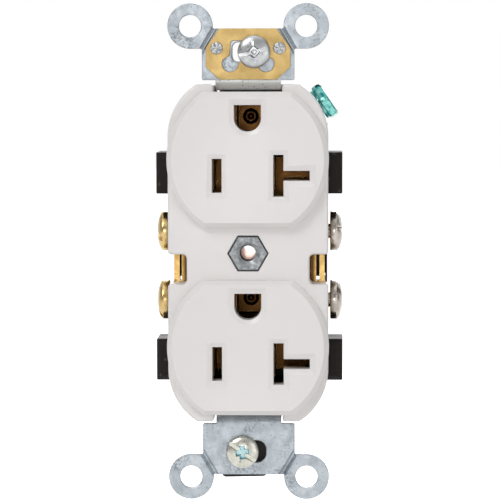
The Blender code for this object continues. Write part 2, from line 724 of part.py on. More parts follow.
def clip_rivet_room(side, collection):
    """The hole for a clip rivet, widened at the back for its upset."""
    tail_radius, tail_depth = CLIP_RIVET_TAIL
    shank = CLIP_RIVET_SHANK_RADIUS + BORE_GAP
    profile = [
        (0, STRAP_THICKNESS + OVERCUT),
        (shank, STRAP_THICKNESS + OVERCUT),
        (shank, tail_depth + REST_GAP),
        (tail_radius + REST_GAP, 0),
        (tail_radius + REST_GAP, -OVERCUT),
        (0, -OVERCUT),
    ]
    name = f"clip_rivet_room_{side}"
    centre = (side * CLIP_RIVET_HALF_SPACING, 0, MOUNT_LEVEL + CLIP_RIVET_ABOVE)
    return turned(name, profile, centre, (0, -1, 0), collection, steps=FINE_STEPS)


def make_strap(parts, cutters):
    half = STRAP_NECK_WIDTH / 2
    strap = extruded("mounting_strap", [strap_profile()], -half, half, parts, along="X")
    through_back = (STRAP_BACK_INNER - OVERCUT, BODY_BACK + OVERCUT)
    for end, sign in END_SIGN.items():
        half_width = (
            abs(MOUNT_SCREW_OFFSETS[end]) + MOUNT_SCREW_SHANK_RADIUS + SLOT_SIDE_GAPS[end]
        )
        half_height = MOUNT_SCREW_SHANK_RADIUS + SLOT_SHANK_GAPS[end]
        level = sign * MOUNT_LEVEL
        slot = rounded_rectangle(
            -half_width, half_width, level - half_height, level + half_height, SLOT_CORNERS[end]
        )
        ear_level = sign * (MOUNT_LEVEL + EAR_ABOVE)
        holes = [
            circle((side * EAR_SPACING / 2, ear_level), EAR_HOLE_RADIUS) for side in (-1, 1)
        ]
        plate = extruded(
            f"strap_plate_{end}", [plate_outline(sign), slot, *holes], STRAP_FRONT, 0, cutters
        )
        join(strap, plate)
        for side in (-1, 1):
            for face in (STRAP_FRONT, 0):
                cut(strap, score_line(side, sign, face, f"score_{end}_{side}_{face}", cutters))
            if end == "upper":
                cut(strap, clip_rivet_room(side, cutters))
        hole = bore_along_y(
            f"strap_rivet_hole_{end}",
            GROUND_LEVELS[end],
            GROUND_RIVET_SHANK_RADIUS,
            *through_back,
            cutters,
            FINE_STEPS,
        )
        cut(strap, hole)
    cut(strap, bore_along_y("strap_rivet_bore", 0, RIVET_TUBE_RADIUS, *through_back, cutters))
    join(strap, ground_tab(cutters))
    cut(strap, ground_shank_room("tab_screw_hole", 0, cutters))
    return finish_part(strap, "galvanised_steel")


# --- Ground screw and its tab --------------------------------------------------------------
def ground_screw_axis():
    return Vector((math.cos(GROUND_SCREW_TILT), 0, math.sin(GROUND_SCREW_TILT)))


def ground_screw_point(distance):
    """A point on the screw's axis, this far outward from the underside of its head."""
    x, z = GROUND_SCREW_CENTRE
    start = Vector((x, GROUND_SCREW_DEPTH, z))
    return start + ground_screw_axis() * (distance - GROUND_HEAD_HEIGHT / 2)


def ground_shank_room(name, extra, collection):
    """The hole round the screw's shank, running on this far past the shank's end."""
    return rod(
        name,
        ground_screw_point(0),
        ground_screw_axis(),
        GROUND_SHANK_RADIUS + BORE_GAP,
        2 * (GROUND_SHANK_LENGTH + extra),
        collection,
    )


def tab_section(thickness, growth=0.0):
    """The tab's section as (x, z): from the strap's leg, along the top, then down the corner."""
    x, z = (v for i, v in enumerate(ground_screw_point(-GROUND_TAB_GAP)) if i != 1)
    down = (math.sin(GROUND_SCREW_TILT), -math.cos(GROUND_SCREW_TILT))
    out = (math.cos(GROUND_SCREW_TILT), math.sin(GROUND_SCREW_TILT))
    outer_end = (x + down[0] * GROUND_TAB_REACH, z + down[1] * GROUND_TAB_REACH)
    to_top = (LEG_OUTER - z) / -down[1]
    corner = (x - down[0] * to_top, LEG_OUTER)
    bend = thickness * math.tan((math.pi / 2 - GROUND_SCREW_TILT) / 2)
    start_x = STRAP_NECK_WIDTH / 2 - GROUND_TAB_LAP
    inner_end = (outer_end[0] - out[0] * thickness, outer_end[1] - out[1] * thickness)
    inner_corner = (corner[0] - bend, LEG_OUTER - thickness)
    return [
        (start_x, LEG_OUTER + growth),
        (corner[0] + growth / 2, LEG_OUTER + growth),
        (outer_end[0] + (out[0] + down[0]) * growth, outer_end[1] + (out[1] + down[1]) * growth),
        (inner_end[0] + (down[0] - out[0]) * growth, inner_end[1] + (down[1] - out[1]) * growth),
        (inner_corner[0] - growth / 2, inner_corner[1] - growth),
        (start_x, LEG_OUTER - thickness - growth),
    ]


def ground_tab(collection):
    near = GROUND_SCREW_DEPTH - GROUND_TAB_WIDTH / 2
    return extruded(
        "ground_tab", [tab_section(STRAP_THICKNESS)], near, near + GROUND_TAB_WIDTH, collection
    )


def ground_tab_room(collection):
    """What the body leaves free for the tab, its screw and the screw's shank."""
    top_start, _, _, tab_end, tab_corner, start = tab_section(STRAP_THICKNESS, FIT_GAP)
    outline = [
        start,
        tab_corner,
        tab_end,
        (COVER_WIDTH, tab_end[1]),
        (COVER_WIDTH, COVER_HEIGHT),
        (top_start[0], COVER_HEIGHT),
    ]
    near = GROUND_SCREW_DEPTH - GROUND_TAB_WIDTH / 2 - FIT_GAP
    room = extruded(
        "ground_tab_room", [outline], 0, near + GROUND_TAB_WIDTH + 2 * FIT_GAP, collection
    )
    return join(room, ground_shank_room("ground_shank_room", GROUND_SHANK_ROOM, collection))


def make_ground_screw(parts, cutters):
    """Origin on the axis, at the underside of the head's collar."""
    collar_radius, collar_height = GROUND_COLLAR
    half_across = GROUND_HEAD_FLATS / 2 / math.cos(math.pi / 6)
    screw = rod(
        "ground_screw",
        ground_screw_point(0),
        ground_screw_axis(),
        half_across,
        GROUND_HEAD_HEIGHT,
        parts,
        sides=6,
    )
    screw.data.transform(Matrix.Translation((0, 0, GROUND_HEAD_HEIGHT / 2)))
    shank = turned(
        "ground_shank",
        [
            (0, collar_height),
            (collar_radius, collar_height),
            (collar_radius, -collar_height),
            (GROUND_SHANK_RADIUS, -collar_height),
            (GROUND_SHANK_RADIUS, -GROUND_SHANK_LENGTH),
            (0, -GROUND_SHANK_LENGTH),
        ],
        ground_screw_point(0),
        ground_screw_axis(),
        cutters,
    )
    join(screw, shank)
    cut_driver_slot(
        screw, 2 * GROUND_HEAD_FLATS, GROUND_SCREW_SLOT, GROUND_HEAD_HEIGHT, 0, cutters
    )
    return finish_part(screw, "green_ground_finish")


# --- Self-grounding clip and its rivets ----------------------------------------------------
def clip_outline():
    half = CLIP_WIDTH / 2
    narrow = half - CLIP_CHAMFER_WIDTH
    bottom, top = MOUNT_LEVEL - CLIP_BELOW, MOUNT_LEVEL + CLIP_ABOVE
    right = [
        (narrow, bottom),
        (half, bottom + CLIP_BOTTOM_CHAMFER),
        (half, top - CLIP_TOP_CHAMFER),
        (narrow, top),
    ]
    return mirrored(right)


def clip_opening():
    """Square at the top, with two round lobes and a tongue between them below."""
    lobe = (CLIP_OPENING_HALF, MOUNT_LEVEL - CLIP_LOBE_BELOW)
    tongue_top = MOUNT_LEVEL - MOUNT_SCREW_SHANK_RADIUS - BORE_GAP
    right = [
        (CLIP_TONGUE_HALF - CLIP_TONGUE_CORNER, tongue_top),
        (CLIP_TONGUE_HALF, tongue_top - CLIP_TONGUE_CORNER),
        *arc(lobe, CLIP_LOBE_RADIUS, 185, 400, 12),
        (CLIP_OPENING_HALF, MOUNT_LEVEL - CLIP_SHOULDER_BELOW),
        (CLIP_OPENING_HALF, MOUNT_LEVEL + CLIP_OPENING_ABOVE),
    ]
    return mirrored(right)


def make_clip(parts):
    holes = [
        circle(
            (side * CLIP_RIVET_HALF_SPACING, MOUNT_LEVEL + CLIP_RIVET_ABOVE),
            CLIP_RIVET_SHANK_RADIUS + BORE_GAP,
            12,
        )
        for side in (-1, 1)
    ]
    clip = extruded(
        "self_grounding_clip",
        [clip_outline(), clip_opening(), *holes],
        CLIP_FRONT,
        CLIP_BACK,
        parts,
    )
    return finish_part(clip, "brass")


def make_clip_rivet(side, label, parts):
    """A solid rivet with a low head on the clip and a tail upset flush into the strap."""
    front = CLIP_FRONT - REST_GAP
    head, shank = CLIP_RIVET_HEAD_RADIUS, CLIP_RIVET_SHANK_RADIUS
    rise = CLIP_RIVET_HEAD_HEIGHT
    tail_radius, tail_depth = CLIP_RIVET_TAIL
    grip = -STEP - front
    profile = [
        (0, rise),
        (0.8 * head, rise),
        (head, rise / 2),
        (head, 0),
        (shank, 0),
        (shank, tail_depth - grip),
        (tail_radius - REST_GAP, -grip),
        (0, -grip),
    ]
    rivet = turned(
        f"clip_rivet_{label}",
        profile,
        (side * CLIP_RIVET_HALF_SPACING, front, MOUNT_LEVEL + CLIP_RIVET_ABOVE),
        (0, -1, 0),
        parts,
        steps=FINE_STEPS,
    )
    return finish_part(rivet, "zinc_plated_steel")


# --- Mounting screws and retaining washer --------------------------------------------------
def domed_profile(head_radius, head_height, shank_radius, shank_length):
    """A screw with a domed head: the head sits above zero and the shank below."""
    rim = DOME_RIM * head_height
    dome = [
        (
            head_radius * math.sin(math.radians(a)),
            rim + (head_height - rim) * math.cos(math.radians(a)),
        )
        for a in (0, 25, 50, 70, 90)
    ]
    return [
        (0, head_height),
        *dome[1:],
        (head_radius, 0),
        (shank_radius, 0),
        (shank_radius, -shank_length + SCREW_POINT),
        (shank_radius - SCREW_POINT, -shank_length),
        (0, -shank_length),
    ]


def cut_driver_slot(screw, length, slot_size, height, turn, cutters):
    """A straight slot across the top of a head, turned about the screw's axis."""
    width, depth = slot_size
    slot = block(
        screw.name + "_slot",
        (-length / 2, -width / 2, height - depth),
        (length / 2, width / 2, height + OVERCUT),
        cutters,
    )
    slot.matrix_basis = (
        screw.matrix_basis @ Matrix.Rotation(turn, 4, "Z") @ slot.matrix_basis
    )
    cut(screw, slot)


def make_mounting_screw(end, seat, parts, cutters):
    """Origin on the axis, at the underside of the head."""
    screw = turned(
        f"mounting_screw_{'top' if end == 'upper' else 'bottom'}",
        domed_profile(
            MOUNT_SCREW_HEAD_RADIUS,
            MOUNT_SCREW_HEAD_HEIGHT,
            MOUNT_SCREW_SHANK_RADIUS,
            MOUNT_SCREW_LENGTH,
        ),
        (MOUNT_SCREW_OFFSETS[end], seat, END_SIGN[end] * MOUNT_LEVEL),
        (0, -1, 0),
        parts,
    )
    cut_driver_slot(
        screw,
        2 * MOUNT_SCREW_HEAD_RADIUS,
        MOUNT_SCREW_SLOT,
        MOUNT_SCREW_HEAD_HEIGHT,
        MOUNT_SCREW_TURNS[end],
        cutters,
    )
    return finish_part(screw, "zinc_plated_steel")


def make_washer(parts, cutters):
    """Origin at the middle of the slot that its screw slides along."""
    width, height = WASHER_SIZE
    outline = rounded_rectangle(-width / 2, width / 2, -height / 2, height / 2, WASHER_CORNER)
    screw = Vector((MOUNT_SCREW_OFFSETS["lower"], -MOUNT_LEVEL))
    turn = Matrix.Rotation(WASHER_TURN, 2)
    placed = [tuple(screw + Vector(WASHER_SHIFT) + turn @ Vector(p)) for p in outline]
    hole = circle(screw, MOUNT_SCREW_SHANK_RADIUS + BORE_GAP, FINE_STEPS)
    washer = extruded(
        "retaining_washer", [placed, hole], REST_GAP, REST_GAP + WASHER_THICKNESS, parts
    )
    return finish_part(washer, "black_fibre")


# --- Terminal screws and contact strips ----------------------------------------------------
def make_terminal_screw(side, label, end, finish, parts, cutters):
    """Origin on the axis, at the underside of the head."""
    level = ELECTRICAL_CENTRE + END_SIGN[end] * TERMINAL_SPACING / 2
    seat = STRIP_OUTER_FACE + TERMINAL_HEAD_STANDOFF
    screw = turned(
        f"{label}_terminal_screw_{end}",
        domed_profile(
            TERMINAL_HEAD_RADIUS,
            TERMINAL_HEAD_HEIGHT,
            TERMINAL_SHANK_RADIUS,
            TERMINAL_SHANK_LENGTH,
        ),
        (side * seat, TERMINAL_DEPTH, level),
        (side, 0, 0),
        parts,
    )
    cut_driver_slot(
        screw,
        2 * TERMINAL_HEAD_RADIUS,
        TERMINAL_SLOT,
        TERMINAL_HEAD_HEIGHT,
        TERMINAL_TURNS[label, end],
        cutters,
    )
    return finish_part(screw, finish)


def make_strip(side, label, parts, cutters):
    """Bases at the back, leaves and terminal plates rising from them, joined by the fin."""
    outer, inner = side * STRIP_OUTER_FACE, side * (STRIP_OUTER_FACE - STRIP_THICKNESS)
    slit_middle = side * FIN_SLIT_CENTRE
    plate_near = TERMINAL_SPACING / 2 - TERMINAL_PLATE_HEIGHT / 2
    plate_far = plate_near + TERMINAL_PLATE_HEIGHT
    reach = plate_near + FIN_LAP
    slit_half = reach - FIN_SLIT_MARGIN
    fin_x = sorted((outer - side * STEP, side * FIN_INNER))
    slit = rounded_rectangle(
        slit_middle - FIN_SLIT_WIDTHS[label] / 2,
        slit_middle + FIN_SLIT_WIDTHS[label] / 2,
        ELECTRICAL_CENTRE - slit_half,
        ELECTRICAL_CENTRE + slit_half,
        FIN_SLIT_CORNER,
        2,
    )
    fin = rectangle(*fin_x, ELECTRICAL_CENTRE - reach, ELECTRICAL_CENTRE + reach)
    front = TERMINAL_PLATE_FRONT
    strip = extruded(f"{label}_contact_strip", [fin, slit], front, front + STRIP_THICKNESS, parts)
    base_back = STRIP_BASE_DEPTH + STRIP_THICKNESS
    leaf_centre = side * BLADE_SPACING / 2
    leaf_offsets = (-LEAF_GAP / 2 - LEAF_THICKNESS / 2, LEAF_GAP / 2 + LEAF_THICKNESS / 2)
    for end, sign in END_SIGN.items():
        level = BLADE_LEVELS[end]
        plate_z = sorted(ELECTRICAL_CENTRE + sign * v for v in (plate_near, plate_far))
        plate_x = sorted((outer, inner))
        plate = block(
            f"{label}_terminal_plate_{end}",
            (plate_x[0], front + STEP, plate_z[0]),
            (plate_x[1], base_back, plate_z[1]),
            cutters,
        )
        join(strip, plate)
        base_inner = leaf_centre - side * (LEAF_GAP / 2 + LEAF_THICKNESS + STEP)
        base_end = level + sign * (LEAF_HALF_HEIGHT + STEP)
        pocket_side = side * (POCKET_OUTER - FIT_GAP)
        base = block_between(
            f"{label}_base_{end}",
            (base_inner, STRIP_BASE_DEPTH, ELECTRICAL_CENTRE + sign * BASE_START),
            (pocket_side, base_back - STEP, base_end),
            cutters,
        )
        join(strip, base)
        link = block_between(
            f"{label}_link_{end}",
            (
                pocket_side - side * LINK_LAP,
                STRIP_BASE_DEPTH + STEP,
                ELECTRICAL_CENTRE + sign * (BASE_START + STEP),
            ),
            (
                outer - side * STEP,
                base_back - 2 * STEP,
                ELECTRICAL_CENTRE + sign * (plate_far - STEP),
            ),
            cutters,
        )
        join(strip, link)
        for number, offset in enumerate(leaf_offsets):
            outer_leaf = (offset > 0) == (side > 0)
            split = label == "neutral" and outer_leaf
            half_bar = NEUTRAL_BAR[1] / 2
            spans = [(-LEAF_HALF_HEIGHT, LEAF_HALF_HEIGHT)]
            if split:
                spans = [
                    (-LEAF_HALF_HEIGHT, -half_bar - STEP),
                    (half_bar + STEP, LEAF_HALF_HEIGHT),
                ]
            for piece, (low, high) in enumerate(spans):
                leaf = block(
                    f"{label}_leaf_{end}_{number}_{piece}",
                    (
                        leaf_centre + offset - LEAF_THICKNESS / 2,
                        LEAF_FRONT,
                        level + low,
                    ),
                    (
                        leaf_centre + offset + LEAF_THICKNESS / 2,
                        base_back - 2 * STEP,
                        level + high,
                    ),
                    cutters,
                )
                join(strip, leaf)
                if split:
                    away = 1 if low > 0 else -1
                    bar_leaf = block_between(
                        f"{label}_bar_leaf_{end}_{piece}",
                        (leaf_centre + offset, LEAF_FRONT + STEP, level + away * half_bar),
                        (
                            leaf_centre + offset + BAR_CONTACT_LENGTH,
                            base_back - 3 * STEP,
                            level + away * (half_bar + LEAF_THICKNESS),
                        ),
                        cutters,
                    )
                    join(strip, bar_leaf)
        hole = rod(
            f"{label}_screw_hole_{end}",
            (outer, TERMINAL_DEPTH, ELECTRICAL_CENTRE + sign * TERMINAL_SPACING / 2),
            (1, 0, 0),
            TERMINAL_SHANK_RADIUS + BORE_GAP,
            2 * (STRIP_THICKNESS + OVERCUT),
            cutters,
        )
        cut(strip, hole)
    return finish_part(strip, "brass")


# --- Ground contacts -----------------------------------------------------------------------
def make_ground_contact(end, parts, cutters):
    """A U-shaped clip: a base riveted through the body to the strap, and two leaves."""
    level = GROUND_LEVELS[end]
    inner = GROUND_CLIP_GAP / 2
    outer = inner + LEAF_THICKNESS
    base_back = GROUND_BASE_DEPTH + STRIP_THICKNESS
    half = GROUND_CLIP_HALF_HEIGHT
    section = [
        (-outer, base_back),
        (outer, base_back),
        (outer, LEAF_FRONT),
        (inner, LEAF_FRONT),
        (inner, GROUND_BASE_DEPTH),
        (-inner, GROUND_BASE_DEPTH),
        (-inner, LEAF_FRONT),
        (-outer, LEAF_FRONT),
    ]
    clip = extruded(
        f"ground_contact_{end}", [section], level - half, level + half, parts, along="Z"
    )
    through = (GROUND_BASE_DEPTH - OVERCUT, base_back + OVERCUT)
    name = f"ground_contact_hole_{end}"
    hole = bore_along_y(name, level, GROUND_RIVET_SHANK_RADIUS, *through, cutters, FINE_STEPS)
    cut(clip, hole)
    return finish_part(clip, "brass")


def make_ground_rivet(end, parts):
    head, shank = GROUND_RIVET_HEAD_RADIUS, GROUND_RIVET_SHANK_RADIUS
    rise = GROUND_RIVET_HEAD_HEIGHT
    front = GROUND_BASE_DEPTH - REST_GAP
    grip = STRAP_BACK_OUTER + REST_GAP - front
    profile = [
        (0, rise),
        (0.75 * head, rise),
        (head, 0.4 * rise),
        (head, 0),
        (shank, 0),
        (shank, -grip),
        (head, -grip),
        (0.75 * head, -grip - 0.6 * rise),
        (0, -grip - 0.6 * rise),
    ]
    rivet = turned(
        f"ground_rivet_{end}",
        profile,
        (0, front, GROUND_LEVELS[end]),
        (0, -1, 0),
        parts,
        steps=FINE_STEPS,
    )
    return finish_part(rivet, "brass")


# --- Bushing and assembly rivet ------------------------------------------------------------
def make_bushing(parts, cutters):
    """The hexagonal bush that the wall plate's screw goes into."""
    bushing = rod(
        "center_bushing",
        (0, COVER_FRONT + BUSHING_LENGTH / 2, 0),
        (0, 1, 0),
        BUSHING_FLATS / 2 / math.cos(math.pi / 6),
        BUSHING_LENGTH,
        parts,
        sides=6,
    )
    bushing.data.transform(Matrix.Rotation(math.pi / 6, 4, "Z"))
    sink = BUSHING_COUNTERSINK_RADIUS - BUSHING_BORE_RADIUS
    socket_radius = RIVET_TUBE_RADIUS + BORE_GAP
    socket_start = BUSHING_LENGTH - BUSHING_SOCKET_DEPTH
    profile = [
        (0, OVERCUT),
        (BUSHING_COUNTERSINK_RADIUS, OVERCUT),
        (BUSHING_COUNTERSINK_RADIUS, 0),
        (BUSHING_BORE_RADIUS, -sink),
        (BUSHING_BORE_RADIUS, -socket_start),
        (socket_radius, -socket_start),
        (socket_radius, -BUSHING_LENGTH - OVERCUT),
        (0, -BUSHING_LENGTH - OVERCUT),
    ]
    cut(bushing, turned("bushing_bore", profile, (0, COVER_FRONT, 0), (0, -1, 0), cutters))
    return finish_part(bushing, "cast_zinc")


def make_assembly_rivet(parts):
    """A tubular rivet from the strap's back to the socket in the bushing."""
    front = COVER_FRONT + BUSHING_LENGTH - BUSHING_SOCKET_DEPTH + FIT_GAP
    back = STRAP_BACK_OUTER + REST_GAP
    profile = [
        (RIVET_TUBE_RADIUS, -front),
        (RIVET_TUBE_RADIUS, -back),
        (RIVET_FLANGE_RADIUS, -back),
        (RIVET_FLANGE_RADIUS, -back - RIVET_FLANGE_THICKNESS),
        (RIVET_BORE_RADIUS, -back - RIVET_FLANGE_THICKNESS),
        (RIVET_BORE_RADIUS, -front),
    ]
    rivet = turned("assembly_rivet", profile, (0, 0, 0), (0, -1, 0), parts, closed=True)
    return finish_part(rivet, "copper_plate")


def main():
    clear_scene()
    parts = new_collection("duplex_outlet")
    cutters = new_collection("cutters")
    make_cover(parts, cutters)
    make_body(parts, cutters)
    make_strap(parts, cutters)
    make_clip(parts)
    for side, label in ((-1, "left"), (1, "right")):
        make_clip_rivet(side, label, parts)
    make_mounting_screw("upper", CLIP_FRONT - FIT_GAP, parts, cutters)
    make_mounting_screw("lower", STRAP_FRONT - FIT_GAP, parts, cutters)
    make_washer(parts, cutters)
    for side, label, finish in ((-1, "hot", "brass"), (1, "neutral", "nickel_plate")):
        make_strip(side, label, parts, cutters)
        for end in END_SIGN:
            make_terminal_screw(side, label, end, finish, parts, cutters)
    for end in END_SIGN:
        make_ground_contact(end, parts, cutters)
        make_ground_rivet(end, parts)
    make_ground_screw(parts, cutters)
    make_bushing(parts, cutters)
    make_assembly_rivet(parts)


if __name__ == "__main__":
    main()
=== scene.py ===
"""The looks of a side-wired duplex wall outlet with a wrap-around mounting strap.

Frame: +X is the neutral side, +Y points into the wall box and +Z is up. The origin is the
middle of the device in the rear plane of the strap's ears. Every piece is built in place,
at the object's own origin, so a surface pattern moves with the piece that carries it.
"""

import logging
import math
from collections.abc import Iterable, Sequence
from dataclasses import dataclass
from enum import Enum
from functools import cache

import bmesh
import bpy
from mathutils import Matrix, Vector


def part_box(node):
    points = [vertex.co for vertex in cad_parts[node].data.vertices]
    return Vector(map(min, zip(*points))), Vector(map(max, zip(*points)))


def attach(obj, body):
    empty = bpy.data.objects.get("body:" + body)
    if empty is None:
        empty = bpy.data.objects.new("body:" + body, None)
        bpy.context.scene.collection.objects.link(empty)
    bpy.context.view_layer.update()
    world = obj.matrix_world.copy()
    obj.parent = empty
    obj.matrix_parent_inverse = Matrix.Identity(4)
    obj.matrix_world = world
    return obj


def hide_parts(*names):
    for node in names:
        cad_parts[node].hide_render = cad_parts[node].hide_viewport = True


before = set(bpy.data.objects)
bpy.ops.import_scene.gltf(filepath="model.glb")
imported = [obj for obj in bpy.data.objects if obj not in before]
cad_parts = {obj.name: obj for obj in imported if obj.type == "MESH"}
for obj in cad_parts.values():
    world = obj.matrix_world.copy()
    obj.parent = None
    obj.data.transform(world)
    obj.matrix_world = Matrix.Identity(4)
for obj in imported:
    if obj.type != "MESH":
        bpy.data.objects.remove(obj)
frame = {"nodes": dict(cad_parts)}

LOG = logging.getLogger("duplex_outlet")
MM = 0.001
ROUND = 56

Point = tuple[float, float]
Ring = tuple[float, float]
Colour = tuple[float, float, float]
Corner = tuple[float, float, float]
Spot = tuple[float, float, float]
Piece = bpy.types.Object
Socket = bpy.types.NodeSocket


class Facing(Enum):
    """Which of the object's axes an outline's width, height and depth run along."""

    FRONT = (0, 2, 1)
    SIDE = (1, 2, 0)
    TOP = (0, 1, 2)

    def place(self, across: float, up: float, depth: float) -> Vector:
        """Turns an outline's point and a depth into a point of the object."""
        where = Vector()
        for axis, value in zip(self.value, (across, up, depth), strict=True):
            where[axis] = value
        return where


class End(Enum):
    """The two ends of the outlet, with the sign of their Z."""

    UPPER = 1
    LOWER = -1

    @property
    def label(self) -> str:
        """The end's name in the names of nodes."""
        return self.name.lower()


class Side(Enum):
    """The two sides of the outlet, with the sign of their X."""

    HOT = -1
    NEUTRAL = 1

    @property
    def label(self) -> str:
        """The side's name in the names of nodes."""
        return self.name.lower()


# --- Where the frame puts things ---
def low_high(node: str, axis: int) -> tuple[float, float]:
    """Reads one axis of a node's box.

    Args:
        node: The node's name.
        axis: 0, 1 or 2 for X, Y or Z.

    Returns:
        The lowest and the highest value.
    """
    low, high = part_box(node)
    return low[axis], high[axis]


def middle(node: str, axis: int) -> float:
    """The middle of a node's box along one axis."""
    return sum(low_high(node, axis)) / 2


# --- Outlines ---
def arc(centre: Point, radius: float, start: float, end: float, steps: int = 12) -> list[Point]:
    """Points along an arc, both ends included.

    Args:
        centre: The arc's centre.
        radius: Its radius.
        start: The first angle in degrees.
        end: The last angle in degrees.
        steps: How many chords it takes.

    Returns:
        The points in order.
    """
    angles = [math.radians(start + (end - start) * i / steps) for i in range(steps + 1)]
    return [(centre[0] + radius * math.cos(a), centre[1] + radius * math.sin(a)) for a in angles]


def circle(centre: Point, radius: float, steps: int = ROUND) -> list[Point]:
    """A whole circle without a repeated point."""
    return arc(centre, radius, 0, 360 - 360 / steps, steps - 1)


def hexagon(flats: float) -> list[Point]:
    """A hexagon with two level flats, measured across them."""
    return arc((0.0, 0.0), flats / math.sqrt(3), 0, 300, 5)


def with_corners(points: Sequence[Corner], steps: int = 4) -> list[Point]:
    """Rounds the corners of a closed outline.

    Args:
        points: Each corner's two coordinates and its radius, where 0 keeps it sharp.
        steps: How many chords a rounded corner takes.

    Returns:
        The outline's points.
    """
    made: list[Point] = []
    for i, (u, v, radius) in enumerate(points):
        here = Vector((u, v))
        if radius <= 0:
            made.append((u, v))
            continue
        before = (Vector(points[i - 1][:2]) - here).normalized()
        after = (Vector(points[(i + 1) % len(points)][:2]) - here).normalized()
        half = before.angle(after) / 2
        reach = radius / math.tan(half)
        centre = here + (before + after).normalized() * (radius / math.sin(half))
        first, last = here + before * reach - centre, here + after * reach - centre
        sweep = first.angle_signed(last)
        for step in range(steps + 1):
            turn = Matrix.Rotation(-sweep * step / steps, 2)
            made.append(tuple(centre + turn @ first))
    return made


def rectangle(low: Point, high: Point, radius: float = 0.0, steps: int = 4) -> list[Point]:
    """A rectangle between two corners, with its own corners rounded.

    Args:
        low: The corner with the lowest values.
        high: The opposite corner.
        radius: The corners' radius.
        steps: How many chords a corner takes.

    Returns:
        The outline's points.
    """
    spots = (low, (high[0], low[1]), high, (low[0], high[1]))
    return with_corners(cornered(spots, radius), steps)


def cornered(points: Iterable[Point], radius: float = 0.0) -> list[Corner]:
    """Gives every point of an outline the same corner radius."""
    return [(u, v, radius) for u, v in points]


def mirrored(half: Sequence[Corner]) -> list[Corner]:
    """Closes a right-hand half, from bottom to top, with its own mirror image."""
    return [*half, *((-u, v, r) for u, v, r in reversed(half))]


def grown(outline: Sequence[Point], growth: float) -> list[Point]:
    """Moves every edge of an outline outward by the same distance.

    Args:
        outline: A closed outline in either direction.
        growth: The distance, negative to shrink it.

    Returns:
        As many points as the outline has.
    """
    if growth == 0:
        return list(outline)
    count = len(outline)
    area = sum(
        outline[i][0] * outline[(i + 1) % count][1] - outline[(i + 1) % count][0] * outline[i][1]
        for i in range(count)
    )
    sign = 1.0 if area > 0 else -1.0
    moved = []
    for i, point in enumerate(outline):
        here = Vector(point)
        back = (here - Vector(outline[i - 1])).normalized()
        on = (Vector(outline[(i + 1) % count]) - here).normalized()
        first = Vector((back.y, -back.x)) * sign
        second = Vector((on.y, -on.x)) * sign
        shift = (first + second) / max(0.2, 1 + first.dot(second))
        moved.append(tuple(here + shift * growth))
    return moved


def soft_rings(near: float, far: float, front: float, back: float, steps: int = 4) -> list[Ring]:
    """Rings that round both edges of an extruded outline.

    Args:
        near: The depth where it starts.
        far: The depth where it ends.
        front: The radius of the edge at the start.
        back: The radius of the edge at the end.
        steps: How many chords each edge takes.

    Returns:
        The growth and the depth of each ring.
    """
    quarter = [math.pi / 2 * i / steps for i in range(steps + 1)]
    rings = [(-front * (1 - math.sin(a)), near + front * (1 - math.cos(a))) for a in quarter]
    rings += [
        (-back * (1 - math.sin(a)), far - back * (1 - math.cos(a))) for a in reversed(quarter)
    ]
    return rings


# --- Solids ---
def as_object(name: str, work: bmesh.types.BMesh) -> Piece:
    """Turns a finished bmesh into an object whose faces point outward.

    Args:
        name: The object's name.
        work: The bmesh, which is freed.

    Returns:
        The object.
    """
    bmesh.ops.recalc_face_normals(work, faces=work.faces)
    mesh = bpy.data.meshes.new(name)
    work.to_mesh(mesh)
    work.free()
    made = bpy.data.objects.new(name, mesh)
    bpy.context.scene.collection.objects.link(made)
    return made


def profiled(
    name: str, outline: Sequence[Point], rings: Sequence[Ring], facing: Facing = Facing.FRONT,
    place: Matrix | None = None,
) -> Piece:
    """Lofts an outline through rings that shrink or grow it at each depth.

    Args:
        name: The new object's name.
        outline: The closed outline.
        rings: The growth and the depth of each ring, in order.
        facing: Which way the outline faces.
        place: A last move for the whole solid.

    Returns:
        The solid.
    """
    work = bmesh.new()
    loops = []
    for growth, depth in rings:
        points = [facing.place(u, v, depth) for u, v in grown(outline, growth)]
        if place is not None:
            points = [place @ point for point in points]
        loops.append([work.verts.new(point) for point in points])
    count = len(outline)
    for first, second in zip(loops, loops[1:]):
        for i in range(count):
            j = (i + 1) % count
            work.faces.new((first[i], first[j], second[j], second[i]))
    work.faces.new(loops[0][::-1])
    work.faces.new(loops[-1])
    return as_object(name, work)


def slab(name: str, low: Sequence[float], high: Sequence[float], edge: float = 0.0) -> Piece:
    """A box between two corners in either order, with its edges rounded.

    Args:
        name: The solid's name.
        low: One corner.
        high: The opposite corner.
        edge: The rounding.

    Returns:
        The solid.
    """
    start = [min(pair) for pair in zip(low, high, strict=True)]
    stop = [max(pair) for pair in zip(low, high, strict=True)]
    outline = rectangle((start[0], start[2]), (stop[0], stop[2]), edge * 1.3)
    rings = [(0.0, start[1]), (0.0, stop[1])]
    if edge:
        rings = soft_rings(start[1], stop[1], edge, edge, 3)
    return profiled(name, outline, rings)


@dataclass(frozen=True)
class Row:
    """One ring of a turned solid.

    Attributes:
        radius: The ring's radius.
        height: Its height along the axis.
        groove: How deep a screw thread cuts into it.
    """

    radius: float
    height: float
    groove: float = 0.0


def rows_from(base: float, *steps: Point, radius: float = 0.0) -> list[Row]:
    """Rows whose steps are millimetres of radius and of height.

    Args:
        base: The height that the steps' heights are added to, in metres.
        *steps: Each row's radius and height.
        radius: A radius that the steps' radii are added to, in metres.

    Returns:
        The rows.
    """
    return [Row(radius + across * MM, base + up * MM) for across, up in steps]


def rings_from(base: float, *steps: Point) -> list[Ring]:
    """Rings whose steps are millimetres of growth and of depth below a base in metres."""
    return [(growth * MM, base + depth * MM) for growth, depth in steps]


